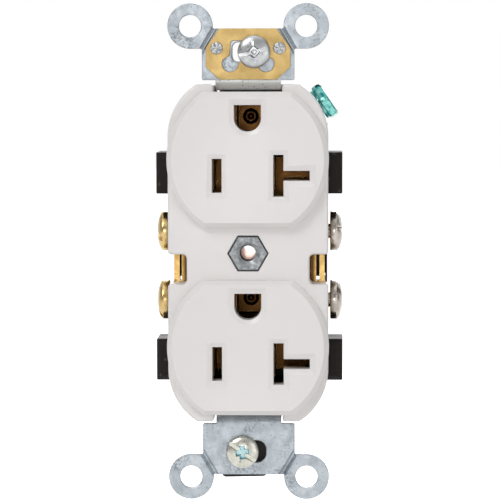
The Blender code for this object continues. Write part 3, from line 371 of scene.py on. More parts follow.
def turned(
    name: str, rows: Sequence[Row], place: Matrix, pitch: float = 0.8 * MM, steps: int = ROUND,
    closed: bool = False,
) -> Piece:
    """Turns a profile about its axis, with a helical thread where its rows ask for one.

    Args:
        name: The new object's name.
        rows: The profile from one end of the axis to the other.
        place: Where the axis, local +Z, goes.
        pitch: The thread's pitch.
        steps: How many facets a turn has.
        closed: True for a ring, whose last row joins its first.

    Returns:
        The solid.
    """
    work = bmesh.new()
    rings: list[list[bmesh.types.BMVert]] = []
    for row in rows:
        if row.radius <= 0:
            rings.append([work.verts.new(place @ Vector((0, 0, row.height)))])
            continue
        ring = []
        for step in range(steps):
            angle = math.tau * step / steps
            phase = (row.height / pitch - step / steps) % 1.0
            crest = min(1.0, 1.25 * abs(2 * phase - 1))
            radius = row.radius - row.groove * (1 - crest)
            spot = Vector((radius * math.cos(angle), radius * math.sin(angle), row.height))
            ring.append(work.verts.new(place @ spot))
        rings.append(ring)
    pairs = list(zip(rings, rings[1:]))
    if closed:
        pairs.append((rings[-1], rings[0]))
    for first, second in pairs:
        for i in range(steps):
            j = (i + 1) % steps
            if len(first) == 1:
                work.faces.new((first[0], second[i], second[j]))
            elif len(second) == 1:
                work.faces.new((first[i], first[j], second[0]))
            else:
                work.faces.new((first[i], first[j], second[j], second[i]))
    return as_object(name, work)


def dome(
    radius: float, height: float, rim: float, fullness: float, sweep: float, steps: int
) -> list[Row]:
    """Rows of a screw head's dome, from its top down to its rim.

    Args:
        radius: The head's radius.
        height: The head's height.
        rim: The height of the rim that the dome stands on.
        fullness: 1 for a round dome, less for one with a flatter top and steeper sides.
        sweep: The angle in degrees that the last row is at.
        steps: How many rows follow the first.

    Returns:
        The rows.
    """
    rows = [Row(0.0, height)]
    for step in range(1, steps + 1):
        angle = math.radians(sweep / steps * step)
        across = radius * math.sin(angle) ** fullness
        rows.append(Row(across, rim + (height - rim) * math.cos(angle)))
    return rows


def threaded(radius: float, top: float, bottom: float, groove: float, point: float) -> list[Row]:
    """Rows of a threaded shank below a head.

    Args:
        radius: The shank's radius over its crests.
        top: The height where the shank leaves the head.
        bottom: The height of the shank's end.
        groove: The depth of the thread.
        point: The chamfer at the end.

    Returns:
        Rows from the head down to the axis at the shank's end.
    """
    neck, spacing = 0.5 * MM, 0.1 * MM
    rows = [Row(radius * 0.93, top)]
    height = top - neck
    rows.append(Row(radius * 0.93, height))
    while height > bottom + point:
        fade = min(1.0, (top - neck - height) / (0.8 * MM))
        rows.append(Row(radius * (0.93 + 0.07 * fade), height, groove * fade))
        height -= spacing
    rows += [Row(radius - groove * 0.8, bottom + point), Row(radius - point - groove * 0.5, bottom)]
    return [*rows, Row(0.0, bottom)]


def spin(degrees: float) -> Matrix:
    """A turn about +Z."""
    return Matrix.Rotation(math.radians(degrees), 4, "Z")


def axis_at(centre: Sequence[float], direction: Sequence[float], turn: float = 0.0) -> Matrix:
    """A placement whose +Z points along a direction.

    Args:
        centre: The point that the local origin goes to.
        direction: Where local +Z points.
        turn: A turn about that axis, in degrees.

    Returns:
        The placement.
    """
    lean = Vector((0, 0, 1)).rotation_difference(Vector(direction)).to_matrix().to_4x4()
    return Matrix.Translation(Vector(centre)) @ lean @ spin(turn)


def local_slab(
    name: str, low: Sequence[float], high: Sequence[float], place: Matrix, taper: float = 0.0
) -> Piece:
    """A box in a placement's own frame that narrows by a taper towards its low Z.

    Args:
        name: The solid's name.
        low: The corner with the lowest values.
        high: The opposite corner.
        place: The placement.
        taper: How much each side narrows.

    Returns:
        The solid.
    """
    outline = rectangle((low[0], low[1]), (high[0], high[1]))
    return profiled(name, outline, [(-taper, low[2]), (0.0, high[2])], Facing.TOP, place)


def wedge(name: str, corners: Sequence[Vector], start: Vector, stop: Vector) -> Piece:
    """A long cutter with the same section at its start and its stop.

    Args:
        name: The cutter's name.
        corners: The section's corners from the line between the ends.
        start: Where it starts.
        stop: Where it stops.

    Returns:
        The cutter.
    """
    work = bmesh.new()
    ends = [[work.verts.new(spot + corner) for corner in corners] for spot in (start, stop)]
    count = len(corners)
    for i in range(count):
        j = (i + 1) % count
        work.faces.new((ends[0][i], ends[0][j], ends[1][j], ends[1][i]))
    work.faces.new(ends[0][::-1])
    work.faces.new(ends[1])
    return as_object(name, work)


def pin(
    name: str, radius: float, top: float, bottom: float, place: Matrix, steps: int = 40
) -> Piece:
    """A plain round cutter along a placement's axis.

    Args:
        name: The cutter's name.
        radius: Its radius.
        top: The height where it starts.
        bottom: The height where it ends.
        place: The placement.
        steps: How many facets it has.

    Returns:
        The cutter.
    """
    rows = [Row(0.0, top), Row(radius, top), Row(radius, bottom), Row(0.0, bottom)]
    return turned(name, rows, place, steps=steps)


def bores(
    name: str, spots: Iterable[tuple[Point, float]], near: float, far: float, steps: int = 40
) -> list[Piece]:
    """Straight round cutters from one depth to another.

    Args:
        name: The cutters' name.
        spots: Each bore's middle, across and up, and its radius.
        near: The depth where the bores start.
        far: The depth where they end.
        steps: How many facets each has.

    Returns:
        The cutters.
    """
    rings = [(0.0, near), (0.0, far)]
    return [profiled(name, circle(spot, radius, steps), rings) for spot, radius in spots]


def bake(target: Piece) -> Piece:
    """Makes what the target's modifiers give its own mesh.

    Args:
        target: The piece.

    Returns:
        The same piece.
    """
    bpy.context.view_layer.update()
    result = target.evaluated_get(bpy.context.evaluated_depsgraph_get())
    mesh = bpy.data.meshes.new_from_object(result)
    target.modifiers.clear()
    old = target.data
    target.data = mesh
    mesh.name = target.name
    bpy.data.meshes.remove(old)
    return target


def break_edges(target: Piece, width: float, angle: float) -> bpy.types.Modifier:
    """Rounds the edges of a solid that are sharper than an angle in degrees.

    Args:
        target: The solid.
        width: The rounding's width.
        angle: The angle.

    Returns:
        The modifier.
    """
    step = target.modifiers.new("broken edges", "BEVEL")
    step.width = width
    step.segments = 2
    step.limit_method = "ANGLE"
    step.angle_limit = math.radians(angle)
    return step


def shape(target: Piece, tools: Iterable[Piece], operation: str = "DIFFERENCE") -> Piece:
    """Cuts with, or joins, other solids, and makes the result the target's own mesh.

    Args:
        target: The solid that keeps its name.
        tools: The solids that shape it; they are removed afterwards.
        operation: DIFFERENCE or UNION.

    Returns:
        The target.
    """
    used = list(tools)
    for tool in used:
        step = target.modifiers.new(tool.name, "BOOLEAN")
        step.operation = operation
        step.object = tool
    bake(target)
    for tool in used:
        old = tool.data
        bpy.data.objects.remove(tool, do_unlink=True)
        bpy.data.meshes.remove(old)
    return target


# --- Finishes ---
class Graph:
    """Places and links the nodes of one node tree."""

    def __init__(self, tree: bpy.types.NodeTree) -> None:
        """Keeps the tree that the nodes go into."""
        self.tree = tree

    def add(self, kind: str, **values: object) -> bpy.types.Node:
        """Adds a node and feeds its inputs.

        Args:
            kind: The node's type without its ShaderNode prefix.
            **values: A value or an output socket for each named input, with underscores for
                spaces; the name in0, in1 and so on picks an input by its place.

        Returns:
            The node.
        """
        node = self.tree.nodes.new("ShaderNode" + kind)
        for name, value in values.items():
            if name[:2] == "in" and name[2:].isdigit():
                socket = node.inputs[int(name[2:])]
            else:
                socket = node.inputs[name.replace("_", " ")]
            self.feed(socket, value)
        return node

    def feed(self, socket: Socket, value: object) -> None:
        """Links a socket to another, or sets its constant.

        Args:
            socket: The input.
            value: An output socket, or a constant.
        """
        if isinstance(value, Socket):
            self.tree.links.new(value, socket)
        elif socket.type == "RGBA":
            socket.default_value = (*value, 1.0)
        else:
            socket.default_value = value

    def math(self, operation: str, first: object, second: object = 0.0) -> Socket:
        """One clamped arithmetic step on two values.

        Args:
            operation: The step's kind.
            first: A value or a socket.
            second: A value or a socket.

        Returns:
            The result.
        """
        node = self.add("Math", in0=first, in1=second)
        node.operation = operation
        node.use_clamp = True
        return node.outputs[0]

    def spread(
        self, value: object, start: float, stop: float, low: float = 0.0, high: float = 1.0
    ) -> Socket:
        """Maps the range start to stop of a value onto low to high, clamped.

        Args:
            value: A socket.
            start: The value that gives low.
            stop: The value that gives high.
            low: The result at the start.
            high: The result at the stop.

        Returns:
            The result.
        """
        node = self.add("MapRange", Value=value)
        for name, number in zip(
            ("From Min", "From Max", "To Min", "To Max"), (start, stop, low, high), strict=True
        ):
            node.inputs[name].default_value = number
        return node.outputs["Result"]

    def blend(self, share: object, first: object, second: object) -> Socket:
        """Blends two colours by a share from 0 to 1.

        Args:
            share: The second colour's share.
            first: A colour or a socket.
            second: A colour or a socket.

        Returns:
            The colour.
        """
        node = self.tree.nodes.new("ShaderNodeMix")
        node.data_type = "RGBA"
        for index, value in ((0, share), (6, first), (7, second)):
            self.feed(node.inputs[index], value)
        return node.outputs[2]

    def effect(self, group: bpy.types.NodeTree, **values: object) -> bpy.types.Node:
        """Places a shared effect with its own values.

        Args:
            group: The effect's node group.
            **values: A value or a socket for each input.

        Returns:
            The node.
        """
        node = self.tree.nodes.new("ShaderNodeGroup")
        node.node_tree = group
        for name, value in values.items():
            self.feed(node.inputs[name.replace("_", " ")], value)
        return node


def new_effect(
    name: str, inputs: dict[str, str], outputs: dict[str, str]
) -> tuple[Graph, bpy.types.Node, bpy.types.Node]:
    """Starts a shared effect.

    Args:
        name: The effect's name.
        inputs: Each input's name and its kind of socket.
        outputs: Each output's name and its kind of socket.

    Returns:
        Its graph, and the nodes of its inputs and outputs.
    """
    tree = bpy.data.node_groups.new(name, "ShaderNodeTree")
    for label, kind in inputs.items():
        tree.interface.new_socket(label, in_out="INPUT", socket_type="NodeSocket" + kind)
    for label, kind in outputs.items():
        tree.interface.new_socket(label, in_out="OUTPUT", socket_type="NodeSocket" + kind)
    return Graph(tree), tree.nodes.new("NodeGroupInput"), tree.nodes.new("NodeGroupOutput")


@cache
def uneven_patches() -> bpy.types.NodeTree:
    """Soft uneven patches: cloudy stains and handling marks.

    Returns:
        A group with Scale, Detail and Contrast that puts out a Mask.
    """
    kinds = {"Scale": "Float", "Detail": "Float", "Contrast": "Float"}
    graph, start, stop = new_effect("uneven_patches", kinds, {"Mask": "Float"})
    where = graph.add("TexCoord").outputs["Object"]
    given = start.outputs
    cloud = graph.add(
        "TexNoise", Vector=where, Scale=given["Scale"], Detail=given["Detail"], Roughness=0.62
    )
    centred = graph.add("Math", in0=cloud.outputs["Fac"], in1=0.5)
    centred.operation = "SUBTRACT"
    scaled = graph.add("Math", in0=centred.outputs[0], in1=given["Contrast"])
    scaled.operation = "MULTIPLY"
    mask = graph.math("ADD", scaled.outputs[0], 0.5)
    graph.feed(stop.inputs["Mask"], mask)
    return graph.tree


@cache
def fine_grain() -> bpy.types.NodeTree:
    """Fine grain or drawn lines, with its own density along each axis.

    Returns:
        A group with Density and Detail that puts out a Height.
    """
    kinds = {"Density": "Vector", "Detail": "Float"}
    graph, start, stop = new_effect("fine_grain", kinds, {"Height": "Float"})
    where = graph.add("TexCoord").outputs["Object"]
    stretched = graph.add("VectorMath", in0=where, in1=start.outputs["Density"])
    stretched.operation = "MULTIPLY"
    detail, line = start.outputs["Detail"], stretched.outputs[0]
    noise = graph.add("TexNoise", Vector=line, Scale=1.0, Detail=detail, Roughness=0.55)
    graph.feed(stop.inputs["Height"], noise.outputs["Fac"])
    return graph.tree


@cache
def scattered_specks() -> bpy.types.NodeTree:
    """Scattered small round marks: pits, dust and dull spots.

    Returns:
        A group with Scale, Size and Share that puts out a Mask.
    """
    kinds = {"Scale": "Float", "Size": "Float", "Share": "Float"}
    graph, start, stop = new_effect("scattered_specks", kinds, {"Mask": "Float"})
    where = graph.add("TexCoord").outputs["Object"]
    cells = graph.add("TexVoronoi", Vector=where, Scale=start.outputs["Scale"])
    far = graph.math("DIVIDE", cells.outputs["Distance"], start.outputs["Size"])
    near = graph.math("SUBTRACT", 1.0, far)
    parts = graph.add("SeparateColor", Color=cells.outputs["Color"])
    chosen = graph.math("LESS_THAN", parts.outputs[0], start.outputs["Share"])
    soft = graph.spread(near, 0.0, 0.5)
    graph.feed(stop.inputs["Mask"], graph.math("MULTIPLY", soft, chosen))
    return graph.tree


@cache
def wear_and_highlight_edges() -> bpy.types.NodeTree:
    """Edges that take their own colour: rubbed wear, and on the black body a painted highlight.

    Returns:
        A group with Width and Sharpness that puts out a Mask.
    """
    kinds = {"Width": "Float", "Sharpness": "Float"}
    graph, start, stop = new_effect("wear_and_highlight_edges", kinds, {"Mask": "Float"})
    rounded = graph.add("Bevel", Radius=start.outputs["Width"])
    rounded.samples = 4
    plain = graph.add("NewGeometry").outputs["Normal"]
    same = graph.add("VectorMath", in0=rounded.outputs["Normal"], in1=plain)
    same.operation = "DOT_PRODUCT"
    turned_away = graph.math("SUBTRACT", 1.0, same.outputs["Value"])
    mask = graph.math("MULTIPLY", turned_away, start.outputs["Sharpness"])
    graph.feed(stop.inputs["Mask"], mask)
    return graph.tree


@dataclass(frozen=True)
class Finish:
    """A surface: a base colour that wanders towards a second one, with grain and specks.

    Attributes:
        label: The material's name.
        slot: The record's material slot; not used.
        colour: The main colour.
        second: The colour of the uneven patches.
        roughness: Its least and greatest roughness.
        metallic: 0 for plastics and fibre, 1 for bare metal.
        patch_scale: How many patches a metre holds.
        patch_contrast: How sharply the patches stand out.
        density: Lines of grain per metre along X, Y and Z.
        relief: The grain's height in metres.
        speck: The colour of the specks.
        speck_share: The share of cells that hold a speck.
        speck_scale: Cells per metre.
        edge: The colour of rubbed edges.
        edge_width: How far the rubbing reaches.
        coat: The weight of a thin clear layer.
        specular: The strength of a plastic's gloss.
    """

    label: str
    slot: str
    colour: Colour
    second: Colour
    roughness: tuple[float, float]
    metallic: float = 1.0
    patch_scale: float = 350.0
    patch_contrast: float = 2.5
    density: tuple[float, float, float] = (6000.0,) * 3
    relief: float = 0.004 * MM
    speck: Colour = (0.1, 0.1, 0.1)
    speck_share: float = 0.0
    speck_scale: float = 900.0
    # edge: The colour of the edges, which stands for rubbed wear, except on the black body, where it is a painted highlight.         edge_width: How far the edge colour reaches.
    edge: Colour | None = None
    edge_width: float = 0.12 * MM
    coat: float = 0.0
    specular: float = 0.5

    def base(self, graph: Graph, mask: Socket) -> Socket:
        """The colour before specks and rubbed edges.

        Args:
            graph: The material's graph.
            mask: The uneven patches.

        Returns:
            A colour socket.
        """
        return graph.blend(mask, self.colour, self.second)

    def broad_normal(self, graph: Graph) -> Socket | None:
        """A normal that the grain lies on, or None for the surface's own."""
        return None

    def material(self) -> bpy.types.Material:
        """Builds the material once and gives the same one every time.

        Returns:
            The material.
        """
        found = bpy.data.materials.get(self.label)
        if found is not None:
            return found
        made = bpy.data.materials.new(self.label)
        made.use_nodes = True
        graph = Graph(made.node_tree)
        shader = made.node_tree.nodes["Principled BSDF"]
        mask = graph.effect(
            uneven_patches(), Scale=self.patch_scale, Detail=6.0, Contrast=self.patch_contrast
        ).outputs["Mask"]
        colour = self.base(graph, mask)
        if self.speck_share:
            specks = graph.effect(
                scattered_specks(), Scale=self.speck_scale, Size=0.42, Share=self.speck_share
            ).outputs["Mask"]
            colour = graph.blend(graph.math("MULTIPLY", specks, 0.7), colour, self.speck)
        # Edge colour: rubbed wear, except on the black body, where it is a painted highlight.
        if self.edge is not None:
            wear_and_highlight = graph.effect(
                wear_and_highlight_edges(), Width=self.edge_width, Sharpness=2.2
            ).outputs["Mask"]
            colour = graph.blend(wear_and_highlight, colour, self.edge)
        graph.feed(shader.inputs["Base Color"], colour)
        grain = graph.effect(fine_grain(), Density=self.density, Detail=3.0)
        height = grain.outputs["Height"]
        low, high = self.roughness
        wander = graph.blend(0.45, mask, height)
        graph.feed(shader.inputs["Roughness"], graph.spread(wander, 0.2, 0.8, low, high))
        bump = graph.add("Bump", Height=height, Strength=1.0, Distance=self.relief)
        broad = self.broad_normal(graph)
        if broad is not None:
            graph.feed(bump.inputs["Normal"], broad)
        graph.feed(shader.inputs["Normal"], bump.outputs["Normal"])
        shader.inputs["Metallic"].default_value = self.metallic
        shader.inputs["Specular IOR Level"].default_value = self.specular
        shader.inputs["Coat Weight"].default_value = self.coat
        shader.inputs["Coat Roughness"].default_value = 0.12
        return made


@dataclass(frozen=True)
class Galvanised(Finish):
    """Hot-dipped zinc: pale crystal patches with darker stains between them, and a painted
    reflection on the upper bend.

    Attributes:
        crystal_scale: Crystals per metre.
        stain: The colour of the stains.
        painted_reflection: The colour of the painted reflection on the upper bend.
        bend: The lowest and highest level of that bend.
        bend_fade: How far it takes to fade there.
        bend_depth: The depths between which it fades towards the back.
    """

    crystal_scale: float = 420.0
    stain: Colour = (0.10, 0.115, 0.125)
    painted_reflection: Colour = (0.74, 0.75, 0.73)
    bend: Point = (33.5 * MM, 35.9 * MM)
    bend_fade: float = 0.25 * MM
    bend_depth: Point = (1.0 * MM, 2.0 * MM)

    def base(self, graph: Graph, mask: Socket) -> Socket:
        """Crystals of different greys under stains, with a painted reflection on the upper bend.

        Args:
            graph: The material's graph.
            mask: The uneven patches.

        Returns:
            A colour socket.
        """
        where = graph.add("TexCoord").outputs["Object"]
        crystals = graph.add("TexVoronoi", Vector=where, Scale=self.crystal_scale)
        parts = graph.add("SeparateColor", Color=crystals.outputs["Color"])
        grey = graph.blend(graph.math("MULTIPLY", parts.outputs[0], 0.5), self.colour, self.second)
        grey = graph.blend(graph.spread(mask, 0.35, 0.9, 0.0, 0.6), grey, self.second)
        broad = graph.effect(uneven_patches(), Scale=95.0, Detail=2.0, Contrast=5.0)
        fine = graph.effect(uneven_patches(), Scale=2200.0, Detail=3.0, Contrast=5.0)
        stained = graph.math(
            "MULTIPLY", graph.spread(broad.outputs["Mask"], 0.5, 1.0, 0.12, 1.0),
            graph.spread(fine.outputs["Mask"], 0.35, 1.0),
        )
        zinc = graph.blend(graph.math("MULTIPLY", stained, 0.6), grey, self.stain)
        parts = graph.add("SeparateXYZ", Vector=where).outputs
        # Painted reflection: a lighter band across the front of the upper bend.
        low, high = self.bend
        below = graph.spread(parts["Z"], high, high - self.bend_fade)
        above = graph.spread(parts["Z"], low, low + self.bend_fade)
        front = graph.spread(parts["Y"], self.bend_depth[1], self.bend_depth[0])
        bent = graph.math("MULTIPLY", graph.math("MULTIPLY", below, above), front)
        return graph.blend(bent, zinc, self.painted_reflection)


@dataclass(frozen=True)
class DishedNylon(Finish):
    """Moulded nylon whose plug faces sink a little towards their middles.

    Attributes:
        dish: How much the surface rises per square metre of distance.
        face_level: The level of a plug face's middle.
    """

    dish: float = 2.6
    face_level: float = 19.5 * MM

    def broad_normal(self, graph: Graph) -> Socket:
        """A normal that rises with the square of the way from the nearer face's middle.

        Args:
            graph: The material's graph.

        Returns:
            A normal socket.
        """
        where = graph.add("TexCoord").outputs["Object"]
        parts = graph.add("SeparateXYZ", Vector=where).outputs
        up = graph.math("SUBTRACT", graph.math("ABSOLUTE", parts["Z"]), self.face_level)
        up = graph.math("MULTIPLY", graph.math("MULTIPLY", up, up), self.dish)
        across = graph.math("MULTIPLY", graph.math("MULTIPLY", parts["X"], parts["X"]), self.dish)
        rise = graph.math("ADD", across, up)
        return graph.add("Bump", Height=rise, Strength=1.0, Distance=1.0).outputs["Normal"]


@dataclass(frozen=True)
class ShadedBrass(Finish):
    """Contact brass that is bright outside the housing and darkened by painted shade inside it.

    Attributes:
        painted_shade: The colour of the painted shade inside the housing.
        bright_from: The distance from the middle where the brass turns bright.
        fade: How far it takes to turn.
    """

    painted_shade: Colour = (0.095, 0.042, 0.012)
    bright_from: float = 14.2 * MM
    fade: float = 0.8 * MM

    def base(self, graph: Graph, mask: Socket) -> Socket:
        """The patchy brass, darkened by painted shade towards the housing's middle.

        Args:
            graph: The material's graph.
            mask: The uneven patches.

        Returns:
            A colour socket.
        """
        where = graph.add("TexCoord").outputs["Object"]
        reach = graph.math("ABSOLUTE", graph.add("SeparateXYZ", Vector=where).outputs["X"])
        # Painted shade: the brass darkens where it lies inside the housing.
        inside = graph.spread(reach, self.bright_from, self.bright_from - self.fade)
        return graph.blend(inside, graph.blend(mask, self.colour, self.second), self.painted_shade)


class Surface(Enum):
    """Every finish on the outlet."""

    NYLON = DishedNylon(
        "white_nylon_moulding", "white_nylon", (0.800, 0.772, 0.762), (0.770, 0.742, 0.731),
        (0.28, 0.34), metallic=0.0, patch_scale=60.0, patch_contrast=1.6,
        density=(3200.0,) * 3, relief=0.005 * MM, edge=(0.84, 0.83, 0.82), edge_width=0.2 * MM,
    )
    # The black body's lighter edge colour is a painted highlight along its edges.
    BODY = Finish(
        "black_phenolic_moulding", "black_moulding", (0.0095, 0.0068, 0.006), (0.017, 0.013, 0.012),
        (0.40, 0.60), metallic=0.0, patch_scale=240.0, density=(2600.0,) * 3,
        relief=0.010 * MM, speck=(0.07, 0.06, 0.05), speck_share=0.06,
        edge=(0.055, 0.046, 0.043), edge_width=0.22 * MM, specular=0.14,
    )
    STRAP = Galvanised(
        "galvanised_strap_steel", "galvanised_steel", (0.50, 0.54, 0.575), (0.36, 0.40, 0.435),
        (0.34, 0.56), patch_scale=520.0, density=(5000.0, 5000.0, 1400.0), relief=0.006 * MM,
        speck=(0.27, 0.30, 0.33), speck_share=0.22, speck_scale=1700.0,
        edge=(0.78, 0.81, 0.84), edge_width=0.10 * MM,
    )
    CLIP = Finish(
        "rolled_clip_brass", "brass", (0.61, 0.435, 0.185), (0.50, 0.345, 0.13),
        (0.36, 0.52), patch_scale=420.0, density=(1100.0, 9000.0, 9000.0), relief=0.004 * MM,
        speck=(0.44, 0.28, 0.11), speck_share=0.06, speck_scale=2600.0,
        edge=(0.74, 0.56, 0.28), edge_width=0.06 * MM,
    )
    CONTACT = ShadedBrass(
        "contact_strip_brass", "brass", (0.62, 0.41, 0.15), (0.44, 0.27, 0.09),
        (0.22, 0.42), patch_scale=380.0, density=(9000.0, 9000.0, 1800.0), relief=0.004 * MM,
        speck=(0.22, 0.13, 0.05), speck_share=0.08, edge=(0.88, 0.70, 0.38), edge_width=0.06 * MM,
    )
    HOT_SCREW = Finish(
        "hot_screw_brass", "brass", (0.74, 0.55, 0.25), (0.58, 0.40, 0.16),
        (0.16, 0.34), patch_scale=500.0, density=(9000.0, 2500.0, 2500.0),
        relief=0.003 * MM, speck=(0.25, 0.15, 0.06), speck_share=0.07,
        edge=(0.90, 0.76, 0.48), edge_width=0.10 * MM,
    )
    NICKEL = Finish(
        "neutral_screw_nickel", "nickel_plate", (0.62, 0.585, 0.54), (0.42, 0.375, 0.33),
        (0.16, 0.34), patch_scale=480.0, density=(9000.0, 2500.0, 2500.0),
        relief=0.003 * MM, speck=(0.16, 0.12, 0.09), speck_share=0.08,
        edge=(0.80, 0.77, 0.72), edge_width=0.10 * MM,
    )
    ZINC = Finish(
        "zinc_plated_screw", "zinc_plated_steel", (0.58, 0.59, 0.59), (0.38, 0.395, 0.41),
        (0.24, 0.44), patch_scale=620.0, density=(2600.0,) * 3,
        relief=0.006 * MM, speck=(0.22, 0.23, 0.24), speck_share=0.12, speck_scale=1100.0,
        edge=(0.88, 0.89, 0.88), edge_width=0.10 * MM,
    )
    YELLOW_ZINC = Finish(
        "pale_chromate_screw", "zinc_plated_steel", (0.70, 0.69, 0.62), (0.50, 0.49, 0.43),
        (0.20, 0.38), patch_scale=620.0, density=(2600.0,) * 3,
        relief=0.006 * MM, speck=(0.25, 0.24, 0.20), speck_share=0.10, speck_scale=1100.0,
        edge=(0.88, 0.87, 0.80), edge_width=0.10 * MM,
    )
    RECESS = Finish(
        "tinted_driver_recess", "zinc_plated_steel", (0.30, 0.52, 0.56), (0.50, 0.62, 0.62),
        (0.20, 0.38), patch_scale=900.0, patch_contrast=4.0, relief=0.004 * MM,
    )
    GREEN = Finish(
        "green_dyed_ground_screw", "green_ground_finish", (0.025, 0.34, 0.31),
        (0.30, 0.74, 0.68), (0.12, 0.30), metallic=0.8, patch_scale=700.0,
        patch_contrast=6.0, density=(3000.0,) * 3, relief=0.005 * MM,
        speck=(0.01, 0.16, 0.15), speck_share=0.10, edge=(0.004, 0.075, 0.075),
        edge_width=0.34 * MM, coat=0.3,
    )
    CAST = Finish(
        "cast_zinc_bushing", "cast_zinc", (0.36, 0.375, 0.385), (0.20, 0.21, 0.22),
        (0.34, 0.60), patch_scale=1500.0, patch_contrast=3.5,
        density=(2200.0,) * 3, relief=0.020 * MM, edge=(0.55, 0.56, 0.57), edge_width=0.10 * MM,
    )
    COPPER = Finish(
        "copper_plated_rivet", "copper_plate", (0.66, 0.33, 0.20), (0.44, 0.21, 0.12),
        (0.24, 0.44), patch_scale=600.0, relief=0.005 * MM,
        edge=(0.80, 0.48, 0.32), edge_width=0.08 * MM,
    )
    FIBRE = Finish(
        "pressed_black_fibre", "black_fibre", (0.014, 0.012, 0.012), (0.030, 0.026, 0.024),
        (0.70, 0.92), metallic=0.0, patch_scale=800.0, density=(1500.0, 5000.0, 6000.0),
        relief=0.020 * MM,
    )


def dress(piece: Piece, surface: Surface, body: str, node: str, sharp: float = 34.0) -> Piece:
    """Gives a piece its finish, its shading and its place among the bodies.

    Args:
        piece: The new piece.
        surface: Its finish.
        body: The body that it moves with.
        node: The CAD node that it stands for.
        sharp: The angle in degrees above which an edge stays crisp.

    Returns:
        The piece.
    """
    piece.data.materials.clear()
    piece.data.materials.append(surface.value.material())
    piece.data.shade_smooth()
    piece.data.set_sharp_from_angle(angle=math.radians(sharp))
    normals = piece.modifiers.new("flat faces stay flat", "WEIGHTED_NORMAL")
    normals.keep_sharp = True
    normals.weight = 90
    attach(piece, body)
    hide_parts(node)
    LOG.info("%s: %d faces on %s", piece.name, len(piece.data.polygons), body)
    return piece


# --- Shared levels ---
@dataclass(frozen=True)
class Layout:
    """Levels and depths that several sub-assemblies share, read from the frame.

    Attributes:
        ground: The level of each ground pin.
        centre: The level of the electrical centre.
        half_width: Half of the housing's width.
        half_height: Half of the housing's height.
        mount: The distance from the middle to a mounting screw.
        strap_notch: The depth of the notch that the strap runs through at each end.
    """

    ground: dict[End, float]
    centre: float
    half_width: float
    half_height: float
    mount: float
    strap_notch: float = 1.66 * MM

    @classmethod
    def from_frame(cls) -> "Layout":
        """Reads the levels from the boxes of the nodes.

        Returns:
            The layout.
        """
        ground = {end: middle(f"ground_contact_{end.label}", 2) for end in End}
        screws = [middle(f"hot_terminal_screw_{end.label}", 2) for end in End]
        return cls(
            ground=ground, centre=sum(screws) / 2, half_width=16.6 * MM,
            half_height=low_high("front_cover", 2)[1], mount=middle("mounting_screw_top", 2),
        )

    def blade(self, end: End) -> float:
        """The level of the blade slots at one end."""
        return self.ground[end] - 11.9 * MM

    def face(self, end: End) -> float:
        """The level of the middle of a plug face."""
        return self.blade(end) + 3.3 * MM

    def outline(self, notches: Sequence[Corner] = ()) -> list[Point]:
        """The housing's outline seen from the front.

        Args:
            notches: Corners cut into the right-hand side, from bottom to top.

        Returns:
            The closed outline.
        """
        radius, flat, neck = 13.1 * MM, 10.6 * MM, 7.1 * MM
        corner_x = self.half_width - radius
        reach = (flat - corner_x) / radius
        corner_z = self.half_height - radius * math.sqrt(1 - reach * reach)
        top = math.degrees(math.acos(reach))
        lower = cornered(arc((corner_x, -corner_z), radius, -top, 0, 22))
        upper = cornered(arc((corner_x, corner_z), radius, 0, top, 22))
        bottom, peak = -self.half_height, self.half_height
        ends = [(neck, bottom + self.strap_notch, 0.25 * MM), (neck, bottom, 0.6 * MM)]
        tops = [(neck, peak, 0.6 * MM), (neck, peak - self.strap_notch, 0.25 * MM)]
        return with_corners(mirrored([*ends, *lower, *notches, *upper, *tops]))


LAYOUT = Layout.from_frame()


def rivet_spots() -> list[tuple[Point, float]]:
    """The middle and the radius of the assembly rivet's and the ground rivets' bores."""
    return [((0.0, 0.0), 2.3 * MM), *(((0.0, LAYOUT.ground[end]), 1.35 * MM) for end in End)]


def contact_rooms(near: float, far: float, ground_far: float) -> list[Piece]:
    """Cutters for the rooms that hold the contact strips and the ground clips.

    Args:
        near: The depth where the rooms start.
        far: The depth of the blade rooms' floor.
        ground_far: The depth of the ground rooms' floor.

    Returns:
        The cutters.
    """
    tools = []
    for end in End:
        sign, level = end.value, LAYOUT.blade(end)
        inner_end = LAYOUT.centre + sign * 4.6 * MM
        outer_end = level + sign * 4.9 * MM
        for side in Side:
            low = (side.value * 4.1 * MM, near, inner_end)
            high = (side.value * 13.6 * MM, far, outer_end)
            tools.append(slab("room", low, high, 0.3 * MM))
        level = LAYOUT.ground[end]
        low = (-3.5 * MM, near, level - 3.3 * MM)
        high = (3.5 * MM, ground_far, level + 3.3 * MM)
        tools.append(slab("ground_room", low, high, 0.3 * MM))
    return tools


